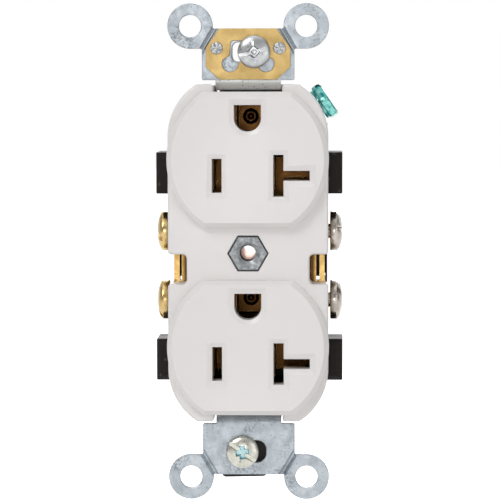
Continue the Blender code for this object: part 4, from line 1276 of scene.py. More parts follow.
# --- Housing ---
@dataclass
class FrontCover:
    """The white moulded cover with its two plug faces.

    Attributes:
        edge: The rounding of the cover's front edge.
        face_diameter: Across a plug face.
        face_height: From a plug face's flat bottom to its flat top.
        face_chamfer: The slope round a plug face.
        frame: The width of the shallow slope round each opening.
        frame_depth: How deep that slope goes.
        dish: How far the middle of a plug face lies below its rim.
        dish_radius: How far the dish reaches.
        hot_slot: The hot slot's width and height.
        neutral_slot: The neutral slot's width and height.
        neutral_bar: The length and height of the neutral slot's bar.
        ground_radius: The ground hole's radius.
        ground_flat: From the ground pin's level up to the hole's flat top.
        blade_reach: From the middle to the middle of a blade.
        fin_notch: The depth and height of the notch that shows a fin.
    """

    edge: float = 0.55 * MM
    face_diameter: float = 33.5 * MM
    face_height: float = 28.0 * MM
    face_chamfer: float = 1.05 * MM
    frame: float = 1.0 * MM
    frame_depth: float = 0.42 * MM
    dish: float = 0.2 * MM
    dish_radius: float = 15.45 * MM
    hot_slot: Point = (2.0 * MM, 7.0 * MM)
    neutral_slot: Point = (2.1 * MM, 8.6 * MM)
    neutral_bar: Point = (5.4 * MM, 2.05 * MM)
    ground_radius: float = 2.79 * MM
    ground_flat: float = 2.65 * MM
    blade_reach: float = 6.35 * MM
    fin_notch: Point = (3.9 * MM, 6.2 * MM)

    def __post_init__(self) -> None:
        """Reads the cover's depths from the frame."""
        self.front, self.parting = low_high("front_cover", 1)
        self.surface = self.front + 2.6 * MM

    def face(self, end: End) -> Piece:
        """One raised plug face with its sloping rim.

        Args:
            end: The end of the outlet.

        Returns:
            The solid to be joined to the cover.
        """
        radius, half = self.face_diameter / 2, self.face_height / 2
        angle = math.degrees(math.asin(half / radius))
        level = LAYOUT.face(end)
        right = cornered(arc((0.0, level), radius, -angle, angle, 60))
        chamfer = self.face_chamfer
        rings = [
            (-chamfer - 0.14 * MM, self.front), (-chamfer + 0.02 * MM, self.front + 0.03 * MM),
            (-chamfer + 0.12 * MM, self.front + 0.11 * MM),
            *rings_from(self.front + chamfer, (-0.14, -0.14), (-0.04, 0.0), (0.0, 0.16)),
            (0.0, self.surface + 1.2 * MM),
        ]
        return profiled(f"face_{end.label}", with_corners(mirrored(right)), rings)

    def hollow(self, end: End) -> Piece:
        """A very flat lens that takes a plug face's middle down a little.

        Args:
            end: The end of the outlet.

        Returns:
            The cutter.
        """
        steps = 9
        rows = [
            Row(self.dish_radius * step / steps, self.dish * ((step / steps) ** 2 - 1))
            for step in range(steps + 1)
        ]
        rows += [Row(self.dish_radius, MM), Row(0.0, MM)]
        place = axis_at((0.0, self.front, LAYOUT.face(end)), (0, -1, 0))
        return turned("hollow", rows, place)

    def hole(self, name: str, outline: Sequence[Point]) -> Piece:
        """A cutter for an opening with a shallow sloping frame round it.

        Args:
            name: The cutter's name.
            outline: The opening's outline.

        Returns:
            The cutter.
        """
        level = self.front + 0.75 * self.dish
        rings = [
            (self.frame * 1.75, level - self.frame_depth * 0.75),
            (0.03 * MM, level + self.frame_depth * 0.96), (0.0, level + self.frame_depth * 1.3),
            (0.0, self.parting + MM),
        ]
        return profiled(name, outline, rings)

    def neutral_outline(self, level: float) -> list[Point]:
        """A tall slot with a short bar on its outer side.

        Args:
            level: The slot's level.

        Returns:
            The outline.
        """
        width, height = self.neutral_slot
        length, bar = self.neutral_bar
        left = self.blade_reach - width / 2
        right, end = left + width, left + width + length
        tall, thin = height / 2, bar / 2
        lower = [(left, -tall), (right, -tall), (right, -thin), (end, -thin)]
        upper = [(u, -v) for u, v in reversed(lower)]
        return [(u, level + v) for u, v in lower + upper]

    def openings(self) -> list[Piece]:
        """The cutters for both ends' slots and ground holes.

        Returns:
            The cutters.
        """
        tools = []
        for end in End:
            level = LAYOUT.blade(end)
            width, height = self.hot_slot
            low = (-self.blade_reach - width / 2, level - height / 2)
            high = (-self.blade_reach + width / 2, level + height / 2)
            tools.append(self.hole("hot_slot", rectangle(low, high)))
            tools.append(self.hole("neutral_slot", self.neutral_outline(level)))
            ground = LAYOUT.ground[end]
            top = ground + self.ground_flat
            outline = [(self.ground_radius, top), (-self.ground_radius, top)]
            outline += arc((0.0, ground), self.ground_radius, 180, 360, 30)
            tools.append(self.hole("ground_hole", outline))
        return tools

    def build(self) -> Piece:
        """Makes the whole cover.

        Returns:
            The cover.
        """
        outer, half = LAYOUT.half_width, self.fin_notch[1] / 2
        low, high, inner = LAYOUT.centre - half, LAYOUT.centre + half, outer - self.fin_notch[0]
        notch = [
            (outer, low, 0.6 * MM), (inner, low, 0.9 * MM),
            (inner, high, 0.9 * MM), (outer, high, 0.6 * MM),
        ]
        outline = LAYOUT.outline(notch)
        rings = soft_rings(self.surface, self.parting, self.edge, 0.15 * MM, 5)
        cover = profiled("front_cover_moulding", outline, rings)
        shape(cover, [self.face(end) for end in End], "UNION")
        seat = rings_from(self.surface, (0.45, -0.3), (0.0, 0.15), (0.0, 7.8))
        tools = [profiled("bushing_seat", hexagon(7.4 * MM), seat)]
        tools += bores("rivet_bore", rivet_spots()[:1], 0.0, self.parting + MM, ROUND)
        tools += [self.hollow(end) for end in End]
        tools += self.openings()
        tools += contact_rooms(self.surface + 2.4 * MM, self.parting + MM, self.parting + MM)
        shape(cover, tools)
        return dress(cover, Surface.NYLON, "root", "front_cover", 20.0)


@dataclass
class BackBody:
    """The dark moulded body with its guards, terminal recesses and contact rooms.

    Attributes:
        edge: The rounding of the back edge.
        guard: The near and the far edge of a guard, from the electrical centre.
        guard_back: The depth where the guards end.
        guard_chamfer: The slope round a guard.
        recess_face: The side wall behind the terminal plates.
        floor: The depth of the blade rooms' floor.
        ground_floor: The depth of the ground rooms' floor.
        plate_span: A terminal plate's near and far edge, from the electrical centre.
        step_in: How far the body's wall lies inside the cover's.
        channel: Half the width, the depth and half the length of the strap's channel.
    """

    edge: float = 0.55 * MM
    step_in: float = 0.3 * MM
    guard: Point = (15.3 * MM, 24.0 * MM)
    guard_back: float = 17.2 * MM
    guard_chamfer: float = 1.0 * MM
    recess_face: float = 14.9 * MM
    floor: float = 16.4 * MM
    ground_floor: float = 18.6 * MM
    plate_span: Point = (2.37 * MM, 12.17 * MM)
    channel: Spot = (7.1 * MM, 1.6 * MM, 40 * MM)

    def __post_init__(self) -> None:
        """Reads the body's reach from the frame."""
        self.front, self.back = low_high("back_body", 1)
        self.reach = low_high("back_body", 0)[1]

    def guard_block(self, side: Side, end: End) -> Piece:
        """A chamfered guard between a terminal screw and the end of the body.

        Args:
            side: The side of the outlet.
            end: The end of the outlet.

        Returns:
            The solid to be joined to the body.
        """
        levels = sorted(LAYOUT.centre + end.value * value for value in self.guard)
        across = sorted((side.value * 13.6 * MM, side.value * self.reach))
        outline = rectangle((across[0], levels[0]), (across[1], levels[1]))
        chamfer = self.guard_chamfer
        rings = [
            (-chamfer, self.front), (0.0, self.front + chamfer), (0.0, self.guard_back - chamfer),
            (-chamfer, self.guard_back),
        ]
        guard = profiled("guard", outline, rings)
        break_edges(guard, 0.2 * MM, 30)
        return bake(guard)

    def side_cuts(self, side: Side) -> list[Piece]:
        """The cutters for one side: recess, fin room, sight hole and terminal windows.

        Args:
            side: The side of the outlet.

        Returns:
            The cutters.
        """
        sign, out = side.value, side.value * 20.0 * MM
        inner = self.recess_face + 0.3 * MM
        start, stop = (LAYOUT.centre + v * self.guard[0] for v in (-1, 1))
        low_sight = LAYOUT.centre - 3.95 * MM
        tools = [
            slab("recess", (sign * inner, 0, start), (out, self.guard_back, stop), 0.3 * MM),
            slab(
                "fin_room", (sign * 12.6 * MM, 0, LAYOUT.centre - 3.4 * MM),
                (out, 7.9 * MM, LAYOUT.centre + 3.4 * MM),
            ),
            slab(
                "sight", (sign * (self.recess_face - 1.7 * MM), 0, low_sight),
                (sign * 15.9 * MM, self.back + MM, low_sight + 1.7 * MM),
            ),
        ]
        for end in End:
            near, far = (LAYOUT.centre + end.value * value for value in self.plate_span)
            tools.append(slab("window", (sign * 11.5 * MM, 0, near), (out, self.floor, far)))
        return tools

    def marks(self) -> list[Piece]:
        """Shallow ejector marks and a stripping gauge on the back.

        Returns:
            The cutters.
        """
        tools = []
        for across in (-11.0 * MM, 11.0 * MM):
            for level in (-26.0 * MM, 0.0, 22.0 * MM):
                place = axis_at((across, self.back, level), (0, 1, 0))
                rows = rows_from(0.0, (0, -0.18), (1.7, -0.18), (1.8, 0.3), (0, 0.3))
                tools.append(turned("ejector_mark", rows, place, steps=32))
        low = (-14.6 * MM, self.back - 0.45 * MM, 5.0 * MM)
        tools.append(slab("gauge", low, (-12.9 * MM, self.back + MM, 17.0 * MM), 0.1 * MM))
        for level in (8.0 * MM, 11.0 * MM, 14.0 * MM):
            low = (-12.9 * MM, self.back - 0.3 * MM, level)
            tools.append(slab("gauge_tick", low, (-11.4 * MM, self.back + MM, level + 0.4 * MM)))
        return tools

    def tab_room(self) -> list[Piece]:
        """The cutters for the ground tab, its screw and the screw's shank.

        Returns:
            The cutters.
        """
        tab, clearance = GroundTab(), 0.3 * MM
        top_start, _, _, tab_end, tab_corner, start = tab.section(clearance)
        out, above = 40 * MM, 45 * MM
        outline = [
            start, tab_corner, tab_end, (out, tab_end[1]), (out, above), (top_start[0], above),
        ]
        room = profiled("tab_room", outline, [(0.0, 0.0), (0.0, tab.depths()[1] + clearance)])
        return [room, pin("shank_room", tab.hole, 6 * MM, -9.4 * MM, tab.placement())]

    def build(self) -> Piece:
        """Makes the whole body.

        Returns:
            The body.
        """
        step = self.step_in
        rings = [
            (growth - step, depth)
            for growth, depth in soft_rings(self.front, self.back, 0.1 * MM, self.edge - step, 4)
        ]
        body = profiled("back_body_moulding", LAYOUT.outline(), rings)
        guards = [self.guard_block(side, end) for side in Side for end in End]
        shape(body, guards, "UNION")
        tools = [tool for side in Side for tool in self.side_cuts(side)]
        tools += contact_rooms(0.0, self.floor, self.ground_floor)
        half, depth, length = self.channel
        low = (-half, self.back - depth, -length)
        tools.append(slab("channel", low, (half, self.back + MM, length)))
        tools += bores("rivet_bore", rivet_spots(), 0.0, self.back + MM)
        shape(body, tools + self.tab_room() + self.marks())
        return dress(body, Surface.BODY, "root", "back_body")


# --- Strap ---
@dataclass(frozen=True)
class GroundTab:
    """The corner of the strap that carries the ground screw.

    Attributes:
        thickness: The strap's thickness.
        tilt: The screw's axis above the horizontal, in degrees.
        head: The middle of the screw's head, across and up.
        depth: The depth of the screw's axis.
        head_height: The height of the screw's head.
        gap: From the underside of the head to the tab.
        width: The tab's width from front to back.
        reach: How far the tab runs past the screw's axis.
        leg: The outer face of the strap's leg.
        hole: The radius of the screw's hole.
    """

    thickness: float = 1.2 * MM
    tilt: float = 34.5
    head: Point = (15.9 * MM, 31.4 * MM)
    depth: float = 8.6 * MM
    head_height: float = 2.1 * MM
    gap: float = 1.2 * MM
    width: float = 8.0 * MM
    reach: float = 4.4 * MM
    leg: float = 34.9 * MM
    hole: float = 2.2 * MM

    def axis(self) -> Vector:
        """The screw's axis, pointing out of the outlet."""
        tilt = math.radians(self.tilt)
        return Vector((math.cos(tilt), 0.0, math.sin(tilt)))

    def point(self, distance: float) -> Vector:
        """A point on the axis, this far out from the underside of the head."""
        start = Vector((self.head[0], self.depth, self.head[1]))
        return start + self.axis() * (distance - self.head_height / 2)

    def placement(self, turn: float = 0.0) -> Matrix:
        """The placement of what sits on the screw's axis, from the underside of the head."""
        return axis_at(self.point(0.0), self.axis(), turn)

    def depths(self) -> Point:
        """The tab's near and far edge."""
        return self.depth - self.width / 2, self.depth + self.width / 2

    def section(self, growth: float = 0.0) -> list[Point]:
        """The tab's section across and up.

        Args:
            growth: A clearance added all round.

        Returns:
            Six points from the leg, along the top and down the corner, and back.
        """
        x, _, z = self.point(-self.gap)
        out = (self.axis().x, self.axis().z)
        down = (out[1], -out[0])
        end = (x + down[0] * self.reach, z + down[1] * self.reach)
        rise = (self.leg - z) / out[0]
        corner = x - down[0] * rise
        bend = self.thickness * math.tan((math.pi / 2 - math.radians(self.tilt)) / 2)
        back = (end[0] - out[0] * self.thickness, end[1] - out[1] * self.thickness)
        root = 5.8 * MM
        return [
            (root, self.leg + growth), (corner + growth / 2, self.leg + growth),
            (end[0] + (out[0] + down[0]) * growth, end[1] + (out[1] + down[1]) * growth),
            (back[0] + (down[0] - out[0]) * growth, back[1] + (down[1] - out[1]) * growth),
            (corner - bend - growth / 2, self.leg - self.thickness - growth),
            (root, self.leg - self.thickness - growth),
        ]

    def build(self) -> Piece:
        """The tab as a bent piece of strap with soft edges.

        Returns:
            The tab.
        """
        radii = (0.0, 1.6 * MM, 0.1 * MM, 0.1 * MM, 0.4 * MM, 0.0)
        corners = [(u, v, r) for (u, v), r in zip(self.section(), radii, strict=True)]
        near, far = self.depths()
        rings = soft_rings(near, far, 0.1 * MM, 0.1 * MM, 2)
        return profiled("ground_tab", with_corners(corners, 6), rings)


@dataclass
class MountingStrap:
    """The wrap-around galvanised strap with its plates, ears and ground tab.

    Attributes:
        thickness: The sheet's thickness.
        neck: The width of the strip.
        bend: The inner radius of its bends.
        plate: The width of an end plate.
        plate_span: From a mounting screw's level in and out to the plate's edges.
        ear: An ear's middle, across and out from a mounting screw's level.
        ear_radius: The ear's radius.
        ear_hole: The radius of its hole.
        leg_inner: The inner face of the strip's legs.
        edge: The rounding that stamping leaves on the front edges.
        score: Where a score groove starts and stops, as with the ear.
        slots: Each screw slot's half width, half height, sign of its end, corner and steps.
        clip_rivet: A clip rivet's place, as with the ear.
        grooves: Each score groove's shift, depth, half width and faces, -1 for the front.
    """

    thickness: float = 1.2 * MM
    neck: float = 13.6 * MM
    bend: float = 1.0 * MM
    plate: float = 19.2 * MM
    plate_span: Point = (5.85 * MM, 4.85 * MM)
    ear: Point = (12.05 * MM, 5.35 * MM)
    ear_radius: float = 4.70 * MM
    ear_hole: float = 2.3 * MM
    leg_inner: float = 33.7 * MM
    edge: float = 0.16 * MM
    score: tuple[Point, Point] = ((7.2 * MM, 5.1 * MM), (9.9 * MM, 0.45 * MM))
    slots: tuple[tuple[float, float, int, float, int], ...] = (
        (3.25 * MM, 1.95 * MM, 1, 1.1 * MM, 6), (3.6 * MM, 2.25 * MM, -1, 1.85 * MM, 8),
    )
    clip_rivet: Point = (6.5 * MM, 0.75 * MM)
    grooves: tuple[tuple[float, float, float, tuple[int, ...]], ...] = (
        (0.0, 0.42 * MM, 0.4 * MM, (-1, 1)), (0.8 * MM, 0.2 * MM, 0.24 * MM, (-1,)),
    )

    def __post_init__(self) -> None:
        """Reads the strap's back from the frame."""
        self.back = low_high("mounting_strap", 1)[1]

    def strip(self) -> Piece:
        """The strip that runs from one plate round the back to the other.

        Returns:
            The strip.
        """
        inner, outer = self.bend, self.bend + self.thickness
        front = (-self.thickness + outer, self.leg_inner + outer)
        rear = (self.back - outer, self.leg_inner + self.thickness - outer)
        overlap = LAYOUT.mount - 4.0 * MM
        near_side = [(-self.thickness, overlap), *arc(front, outer, 180, 270)]
        near_side += arc(rear, inner, 90, 0)
        far_side = [(0.0, overlap), *arc(front, inner, 180, 270), *arc(rear, outer, 90, 0)]
        near_side += [(y, -z) for y, z in reversed(near_side)]
        far_side += [(y, -z) for y, z in reversed(far_side)]
        half = self.neck / 2
        rings = soft_rings(-half, half, 0.12 * MM, 0.12 * MM, 2)
        return profiled("mounting_strap_sheet", near_side + far_side[::-1], rings, Facing.SIDE)

    def plate_sheet(self, end: End) -> Piece:
        """One end plate with its two ears.

        Args:
            end: The end of the outlet.

        Returns:
            The plate.
        """
        half, (across, above) = self.plate / 2, self.ear
        level = LAYOUT.mount + above
        bottom, top = LAYOUT.mount - self.plate_span[0], LAYOUT.mount + self.plate_span[1]
        meet = math.degrees(math.asin((level - top) / self.ear_radius))
        ear = arc((across, level), self.ear_radius, -90, 180 + meet, 60)
        right = [(half, bottom, 0.35 * MM), (half, level - self.ear_radius, 0.35 * MM)]
        right += cornered(ear[:-1])
        right += [(*ear[-1], 0.3 * MM)]
        outline = [(u, end.value * v) for u, v in with_corners(mirrored(right))]
        rings = soft_rings(-self.thickness, 0.0, self.edge, 0.05 * MM, 3)
        return profiled(f"plate_{end.label}", outline, rings)

    def ear_cuts(self, end: End) -> list[Piece]:
        """Stamped ear holes and the grooves that let an ear be snapped off.

        Args:
            end: The end of the outlet.

        Returns:
            The cutters.
        """
        tools = []
        level = end.value * (LAYOUT.mount + self.ear[1])
        for side in Side:
            hole = circle((side.value * self.ear[0], level), self.ear_hole)
            tools.append(profiled("ear_hole", hole, self.stamped()))
            start, stop = (
                Vector((side.value * x, 0, end.value * (LAYOUT.mount + z))) for x, z in self.score
            )
            along = (stop - start).normalized()
            away = Vector((along.z, 0, -along.x))
            start, stop = start - along * 0.6 * MM, stop + along * 0.6 * MM
            for shift, depth, half, faces in self.grooves:
                aside = away * shift * side.value * end.value
                for sign in faces:
                    face = -self.thickness if sign < 0 else 0.0
                    profile = ((-half * 1.3, 0.3 * depth), (half * 1.3, 0.3 * depth), (0, -depth))
                    corners = [away * a + Vector((0, face + sign * d, 0)) for a, d in profile]
                    tools.append(wedge("score", corners, start + aside, stop + aside))
        return tools

    def stamped(self) -> list[Ring]:
        """Rings of a punched hole: rolled at the front, torn a little wider at the back.

        Returns:
            The rings.
        """
        rolled = ((0.5, -0.32), (0.17, 0.01), (0.05, 0.08), (0.0, 0.2))
        torn = ((0.0, -0.3), (0.06, 0.4))
        return [*rings_from(-self.thickness, *rolled), *rings_from(0.0, *torn)]

    def build(self) -> Piece:
        """Makes the whole strap.

        Returns:
            The strap.
        """
        strap = self.strip()
        sheets = [self.plate_sheet(end) for end in End] + [GroundTab().build()]
        shape(strap, sheets, "UNION")
        tools = [tool for end in End for tool in self.ear_cuts(end)]
        for half, up, level, corner, steps in self.slots:
            level *= LAYOUT.mount
            slot = rectangle((-half, level - up), (half, level + up), corner, steps)
            tools.append(profiled("screw_slot", slot, self.stamped()))
        across, above = self.clip_rivet
        for side in Side:
            hole = circle((side.value * across, LAYOUT.mount + above), 1.05 * MM, 28)
            rings = rings_from(0.0, (0.0, -2.0), (0.0, -0.5), (0.45, 0.0), (0.45, 1.0))
            tools.append(profiled("rivet_hole", hole, rings))
        tools += bores("rivet_bore", rivet_spots(), self.back - 3 * MM, self.back + MM)
        tab = GroundTab()
        tools.append(pin("tab_hole", tab.hole, 5 * MM, -5 * MM, tab.placement()))
        shape(strap, tools)
        return dress(strap, Surface.STRAP, "root", "mounting_strap")


# --- Clip and mounting screws ---
@dataclass
class GroundingClip:
    """The brass clip that grounds the upper mounting screw, with its two rivets.

    Attributes:
        width: Across the clip.
        span: From the mounting screw down and up to the clip's edges.
        chamfers: The height of its lower and its upper chamfers.
        narrow: How far the chamfers reach in from its sides.
        opening_half: Half of the opening's width at the top.
        lobe: The centre of a lobe of its opening, across and below the screw.
        lobe_radius: The lobe's radius.
        tongue_half: Half of the width of the tongue between the lobes.
        rivet: A rivet's place, across and above the screw.
    """

    width: float = 17.5 * MM
    span: Point = (5.75 * MM, 4.85 * MM)
    chamfers: Point = (2.6 * MM, 4.0 * MM)
    narrow: float = 2.8 * MM
    opening_half: float = 3.7 * MM
    lobe: Point = (3.7 * MM, 2.45 * MM)
    lobe_radius: float = 1.7 * MM
    tongue_half: float = 1.9 * MM
    rivet: Point = (6.5 * MM, 0.75 * MM)

    def opening(self) -> list[Point]:
        """Square at the top, with two round lobes and a tongue between them.

        Returns:
            The outline.
        """
        level = LAYOUT.mount
        lobe = (self.lobe[0], level - self.lobe[1])
        tongue = level - 1.95 * MM
        right = [(self.tongue_half, tongue, 0.8 * MM)]
        right += cornered(arc(lobe, self.lobe_radius, 200, 392, 30))
        right += [
            (self.opening_half + 0.1 * MM, level - 0.9 * MM, 1.2 * MM),
            (self.opening_half - 0.1 * MM, level + 2.3 * MM, 0.55 * MM),
        ]
        return with_corners(mirrored(right), 5)

    def build(self) -> None:
        """Makes the clip and its rivets."""
        low, high = low_high("self_grounding_clip", 1)
        half, level = self.width / 2, LAYOUT.mount
        narrow = half - self.narrow
        bottom, top = level - self.span[0], level + self.span[1]
        right = [
            (narrow, bottom, 0.35 * MM), (half, bottom + self.chamfers[0], 0.5 * MM),
            (half, top - self.chamfers[1], 0.5 * MM), (narrow, top, 0.35 * MM),
        ]
        rings = soft_rings(low, high, 0.11 * MM, 0.05 * MM, 3)
        clip = profiled("grounding_clip_sheet", with_corners(mirrored(right)), rings)
        punched = rings_from(low, (0.22, -0.11), (0.07, 0.02), (0.0, 0.12))
        tools = [profiled("opening", self.opening(), [*punched, (0.0, high + MM)])]
        spots = [((side.value * self.rivet[0], level + self.rivet[1]), 1.05 * MM) for side in Side]
        tools += bores("rivet_hole", spots, low - 0.18 * MM, high + 0.7 * MM, 28)
        shape(clip, tools)
        dress(clip, Surface.CLIP, "root", "self_grounding_clip")
        for side, label in ((Side.HOT, "left"), (Side.NEUTRAL, "right")):
            self.crimped_rivet(side, label)

    def crimped_rivet(self, side: Side, label: str) -> Piece:
        """A rivet whose low head was split by its crimping tool.

        Args:
            side: The side of the outlet.
            label: The side's word in the names of nodes.

        Returns:
            The rivet.
        """
        node = f"clip_rivet_{label}"
        front, back = low_high(node, 1)
        seat = front + 0.5 * MM
        centre = (side.value * self.rivet[0], seat, LAYOUT.mount + self.rivet[1])
        place = axis_at(centre, (0, -1, 0), 20.0 * side.value)
        rows = rows_from(
            0.0, (0, 0.42), (0.35, 0.43), (0.7, 0.47), (0.95, 0.48), (1.15, 0.42),
            (1.27, 0.28), (1.3, 0.12), (1.25, 0), (0.8, 0),
        )
        rows += rows_from(seat - back, (0.8, 0.55), (1.12, 0), (0, 0))
        rivet = turned(f"crimped_rivet_{label}", rows, place, steps=60)
        cracks, narrowness = 5, 14
        inverse = place.inverted()
        for vertex in rivet.data.vertices:
            local = inverse @ vertex.co
            if local.z < 0.2 * MM:
                continue
            reach = local.xy.length
            angle = math.atan2(local.y, local.x)
            crack = abs(math.cos(cracks / 2 * angle)) ** narrowness * min(1.0, reach / (0.5 * MM))
            lumps = 0.04 * MM * math.sin(cracks * angle + side.value)
            local.z -= 0.18 * MM * crack - lumps * min(1.0, reach / MM) + 0.05 * MM
            vertex.co = place @ local
        return dress(rivet, Surface.ZINC, "root", node, 50.0)


@dataclass
class MountingScrews:
    """The two mounting screws and the fibre washer that keeps the lower one.

    Attributes:
        head: The head's radius and height.
        shank: The shank's radius and length.
        pitch: The thread's pitch.
        groove: The thread's depth.
        washer_half: Half of the washer's width and height.
        square: Half the width, the depth and the taper of the upper screw's square recesses.
    """

    head: Point = (3.4 * MM, 1.9 * MM)
    shank: Point = (1.7 * MM, 19.0 * MM)
    pitch: float = 0.794 * MM
    groove: float = 0.32 * MM
    washer_half: Point = (4.75 * MM, 5.2 * MM)
    square: tuple[Spot, Spot] = ((1.22 * MM, 0.55 * MM, 0.42 * MM), (0.62 * MM, 1.3 * MM, 0.3 * MM))

    def screw(self, name: str, node: str, turn: float) -> tuple[Piece, Matrix]:
        """A screw without its driver recess.

        Args:
            name: The piece's name.
            node: The CAD node it stands for.
            turn: The turn of its recess in degrees.

        Returns:
            The screw and its placement, whose origin is under the head.
        """
        (head_radius, height), (radius, length) = self.head, self.shank
        seat = low_high(node, 1)[1] - length
        place = axis_at((middle(node, 0), seat, middle(node, 2)), (0, -1, 0), turn)
        rim = 0.42 * height
        rows = dome(head_radius, height, rim, 0.92, 84, 14)
        rows.append(Row(head_radius, rim * 0.8))
        rows += rows_from(0.0, (0, 0.16), (-0.05, 0.04), (-0.16, 0), radius=head_radius)
        rows += threaded(radius, 0.0, -length, self.groove, 0.6 * MM)
        return turned(name, rows, place, self.pitch), place

    def upper(self) -> Piece:
        """The upper screw: a square recess set cornerwise over a worn straight slot.

        Returns:
            The screw.
        """
        node = "mounting_screw_top"
        screw, place = self.screw("upper_mounting_screw", node, 15.0)
        radius, height = self.head
        square = place @ spin(34)
        tools = []
        for half, depth, taper in self.square:
            low = (-half, -half, height - depth)
            high = (half, half, height + 0.1 * MM)
            tools.append(local_slab("square", low, high, square, taper))
        for sign, deep in ((-1, 0.75 * MM), (1, 0.36 * MM)):
            ends = sorted((sign * 0.4 * MM, sign * 1.1 * radius))
            low = (ends[0], -0.62 * MM, height - deep)
            high = (ends[1], 0.62 * MM, height + 0.1 * MM)
            tools.append(local_slab("slot", low, high, place, 0.28 * MM))
        nick = place @ spin(82)
        for sign in (-1, 1):
            ends = sorted((sign * 1.3 * MM, sign * 2.2 * MM))
            low = (ends[0], -0.22 * MM, height - 0.3 * MM)
            tools.append(local_slab("nick", low, (ends[1], 0.22 * MM, height + MM), nick))
        shape(screw, tools)
        return dress(screw, Surface.ZINC, node, node, 40.0)

    def lower(self) -> Piece:
        """The lower screw: a straight slot through a small tinted cross recess.

        Returns:
            The screw.
        """
        node = "mounting_screw_bottom"
        screw, place = self.screw("lower_mounting_screw", node, -35.0)
        radius, height = self.head
        low = (-1.2 * radius, -0.66 * MM, height - 0.85 * MM)
        high = (1.2 * radius, 0.66 * MM, height + 0.1 * MM)
        tools = [local_slab("slot", low, high, place, 0.3 * MM)]
        for turn in (42.0, 132.0):
            cross = place @ spin(turn)
            low = (-1.5 * MM, -0.72 * MM, height - 1.3 * MM)
            high = (1.5 * MM, 0.72 * MM, height + 0.1 * MM)
            tools.append(local_slab("cross", low, high, cross, 0.34 * MM))
        shape(screw, tools)
        piece = dress(screw, Surface.YELLOW_ZINC, node, node, 40.0)
        self.tint(piece, place, height)
        return piece

    def tint(self, piece: Piece, place: Matrix, height: float) -> None:
        """Gives the faces inside the cross recess their own finish.

        Args:
            piece: The screw.
            place: Its placement.
            height: Its head's height.
        """
        piece.data.materials.append(Surface.RECESS.value.material())
        inverse = place.inverted()
        for face in piece.data.polygons:
            local = inverse @ face.center
            if local.xy.length < 1.55 * MM and 0 < local.z < height - 0.14 * MM:
                face.material_index = 1

    def washer(self) -> Piece:
        """The square fibre washer behind the lower plate.

        Returns:
            The washer.
        """
        node = "retaining_washer"
        front, back = low_high(node, 1)
        centre = Vector((middle(node, 0), middle(node, 2)))
        turn = Matrix.Rotation(math.radians(1.2), 2)
        across, up = self.washer_half
        outline = rectangle((-across, -up), (across, up), 0.9 * MM)
        outline = [tuple(turn @ Vector(point) + centre) for point in outline]
        rings = soft_rings(front, back, 0.12 * MM, 0.12 * MM, 3)
        washer = profiled("fibre_washer", outline, rings)
        screw = middle("mounting_screw_bottom", 0), middle("mounting_screw_bottom", 2)
        shape(washer, bores("hole", [(screw, 1.95 * MM)], front - MM, back + MM))
        return dress(washer, Surface.FIBRE, node, node)

    def build(self) -> None:
        """Makes both screws and the washer."""
        self.upper()
        self.lower()
        self.washer()


# --- Terminals and contacts ---
@dataclass
class TerminalScrews:
    """The four binding screws, brass on the hot side and nickel on the neutral side.

    Attributes:
        head: The head's radius and height.
        shank: The shank's radius and length.
        slot: The driver slot's width and depth.
        pitch: The thread's pitch.
        groove: The thread's depth.
        turns: The turn of each screw's slot in degrees.
    """

    head: Point = (4.15 * MM, 2.5 * MM)
    shank: Point = (1.72 * MM, 5.2 * MM)
    slot: Point = (1.3 * MM, 1.1 * MM)
    pitch: float = 0.794 * MM
    groove: float = 0.32 * MM
    turns: tuple[tuple[Side, End, float], ...] = (
        (Side.HOT, End.UPPER, 70.0), (Side.HOT, End.LOWER, 35.0), (Side.NEUTRAL, End.UPPER, 70.0),
        (Side.NEUTRAL, End.LOWER, 55.0),
    )

    def rows(self) -> list[Row]:
        """A low dome over a straight rim with a soft lip, and the shank below it.

        Returns:
            The rows.
        """
        radius, height = self.head
        rim = 0.50 * height
        rows = dome(radius, height, rim, 0.82, 86.4, 12)
        rows.append(Row(radius, rim * 0.86))
        rows += rows_from(0.0, (0, 0.3), (-0.08, 0.1), (-0.26, 0), radius=radius)
        return rows + threaded(self.shank[0], 0.0, -self.shank[1], self.groove, 0.5 * MM)

    def build(self) -> None:
        """Makes the four screws."""
        radius, height = self.head
        for side, end, turn in self.turns:
            node = f"{side.label}_terminal_screw_{end.label}"
            seat = max(abs(value) for value in low_high(node, 0)) - height
            centre = (side.value * seat, middle(node, 1), middle(node, 2))
            place = axis_at(centre, (side.value, 0, 0), turn)
            name = f"{side.label}_binding_screw_{end.label}"
            screw = turned(name, self.rows(), place, self.pitch)
            width, depth = self.slot
            low = (-1.2 * radius, -width / 2, height - depth)
            high = (1.2 * radius, width / 2, height + MM)
            tools = [local_slab("slot", low, high, place)]
            across = place @ spin(90)
            low = (-1.9 * MM, -0.55 * MM, height - 1.2 * MM)
            high = (1.9 * MM, 0.55 * MM, height + MM)
            tools.append(local_slab("cross", low, high, across, 0.12 * MM))
            shape(screw, tools)
            surface = Surface.HOT_SCREW if side is Side.HOT else Surface.NICKEL
            dress(screw, surface, node, node, 40.0)


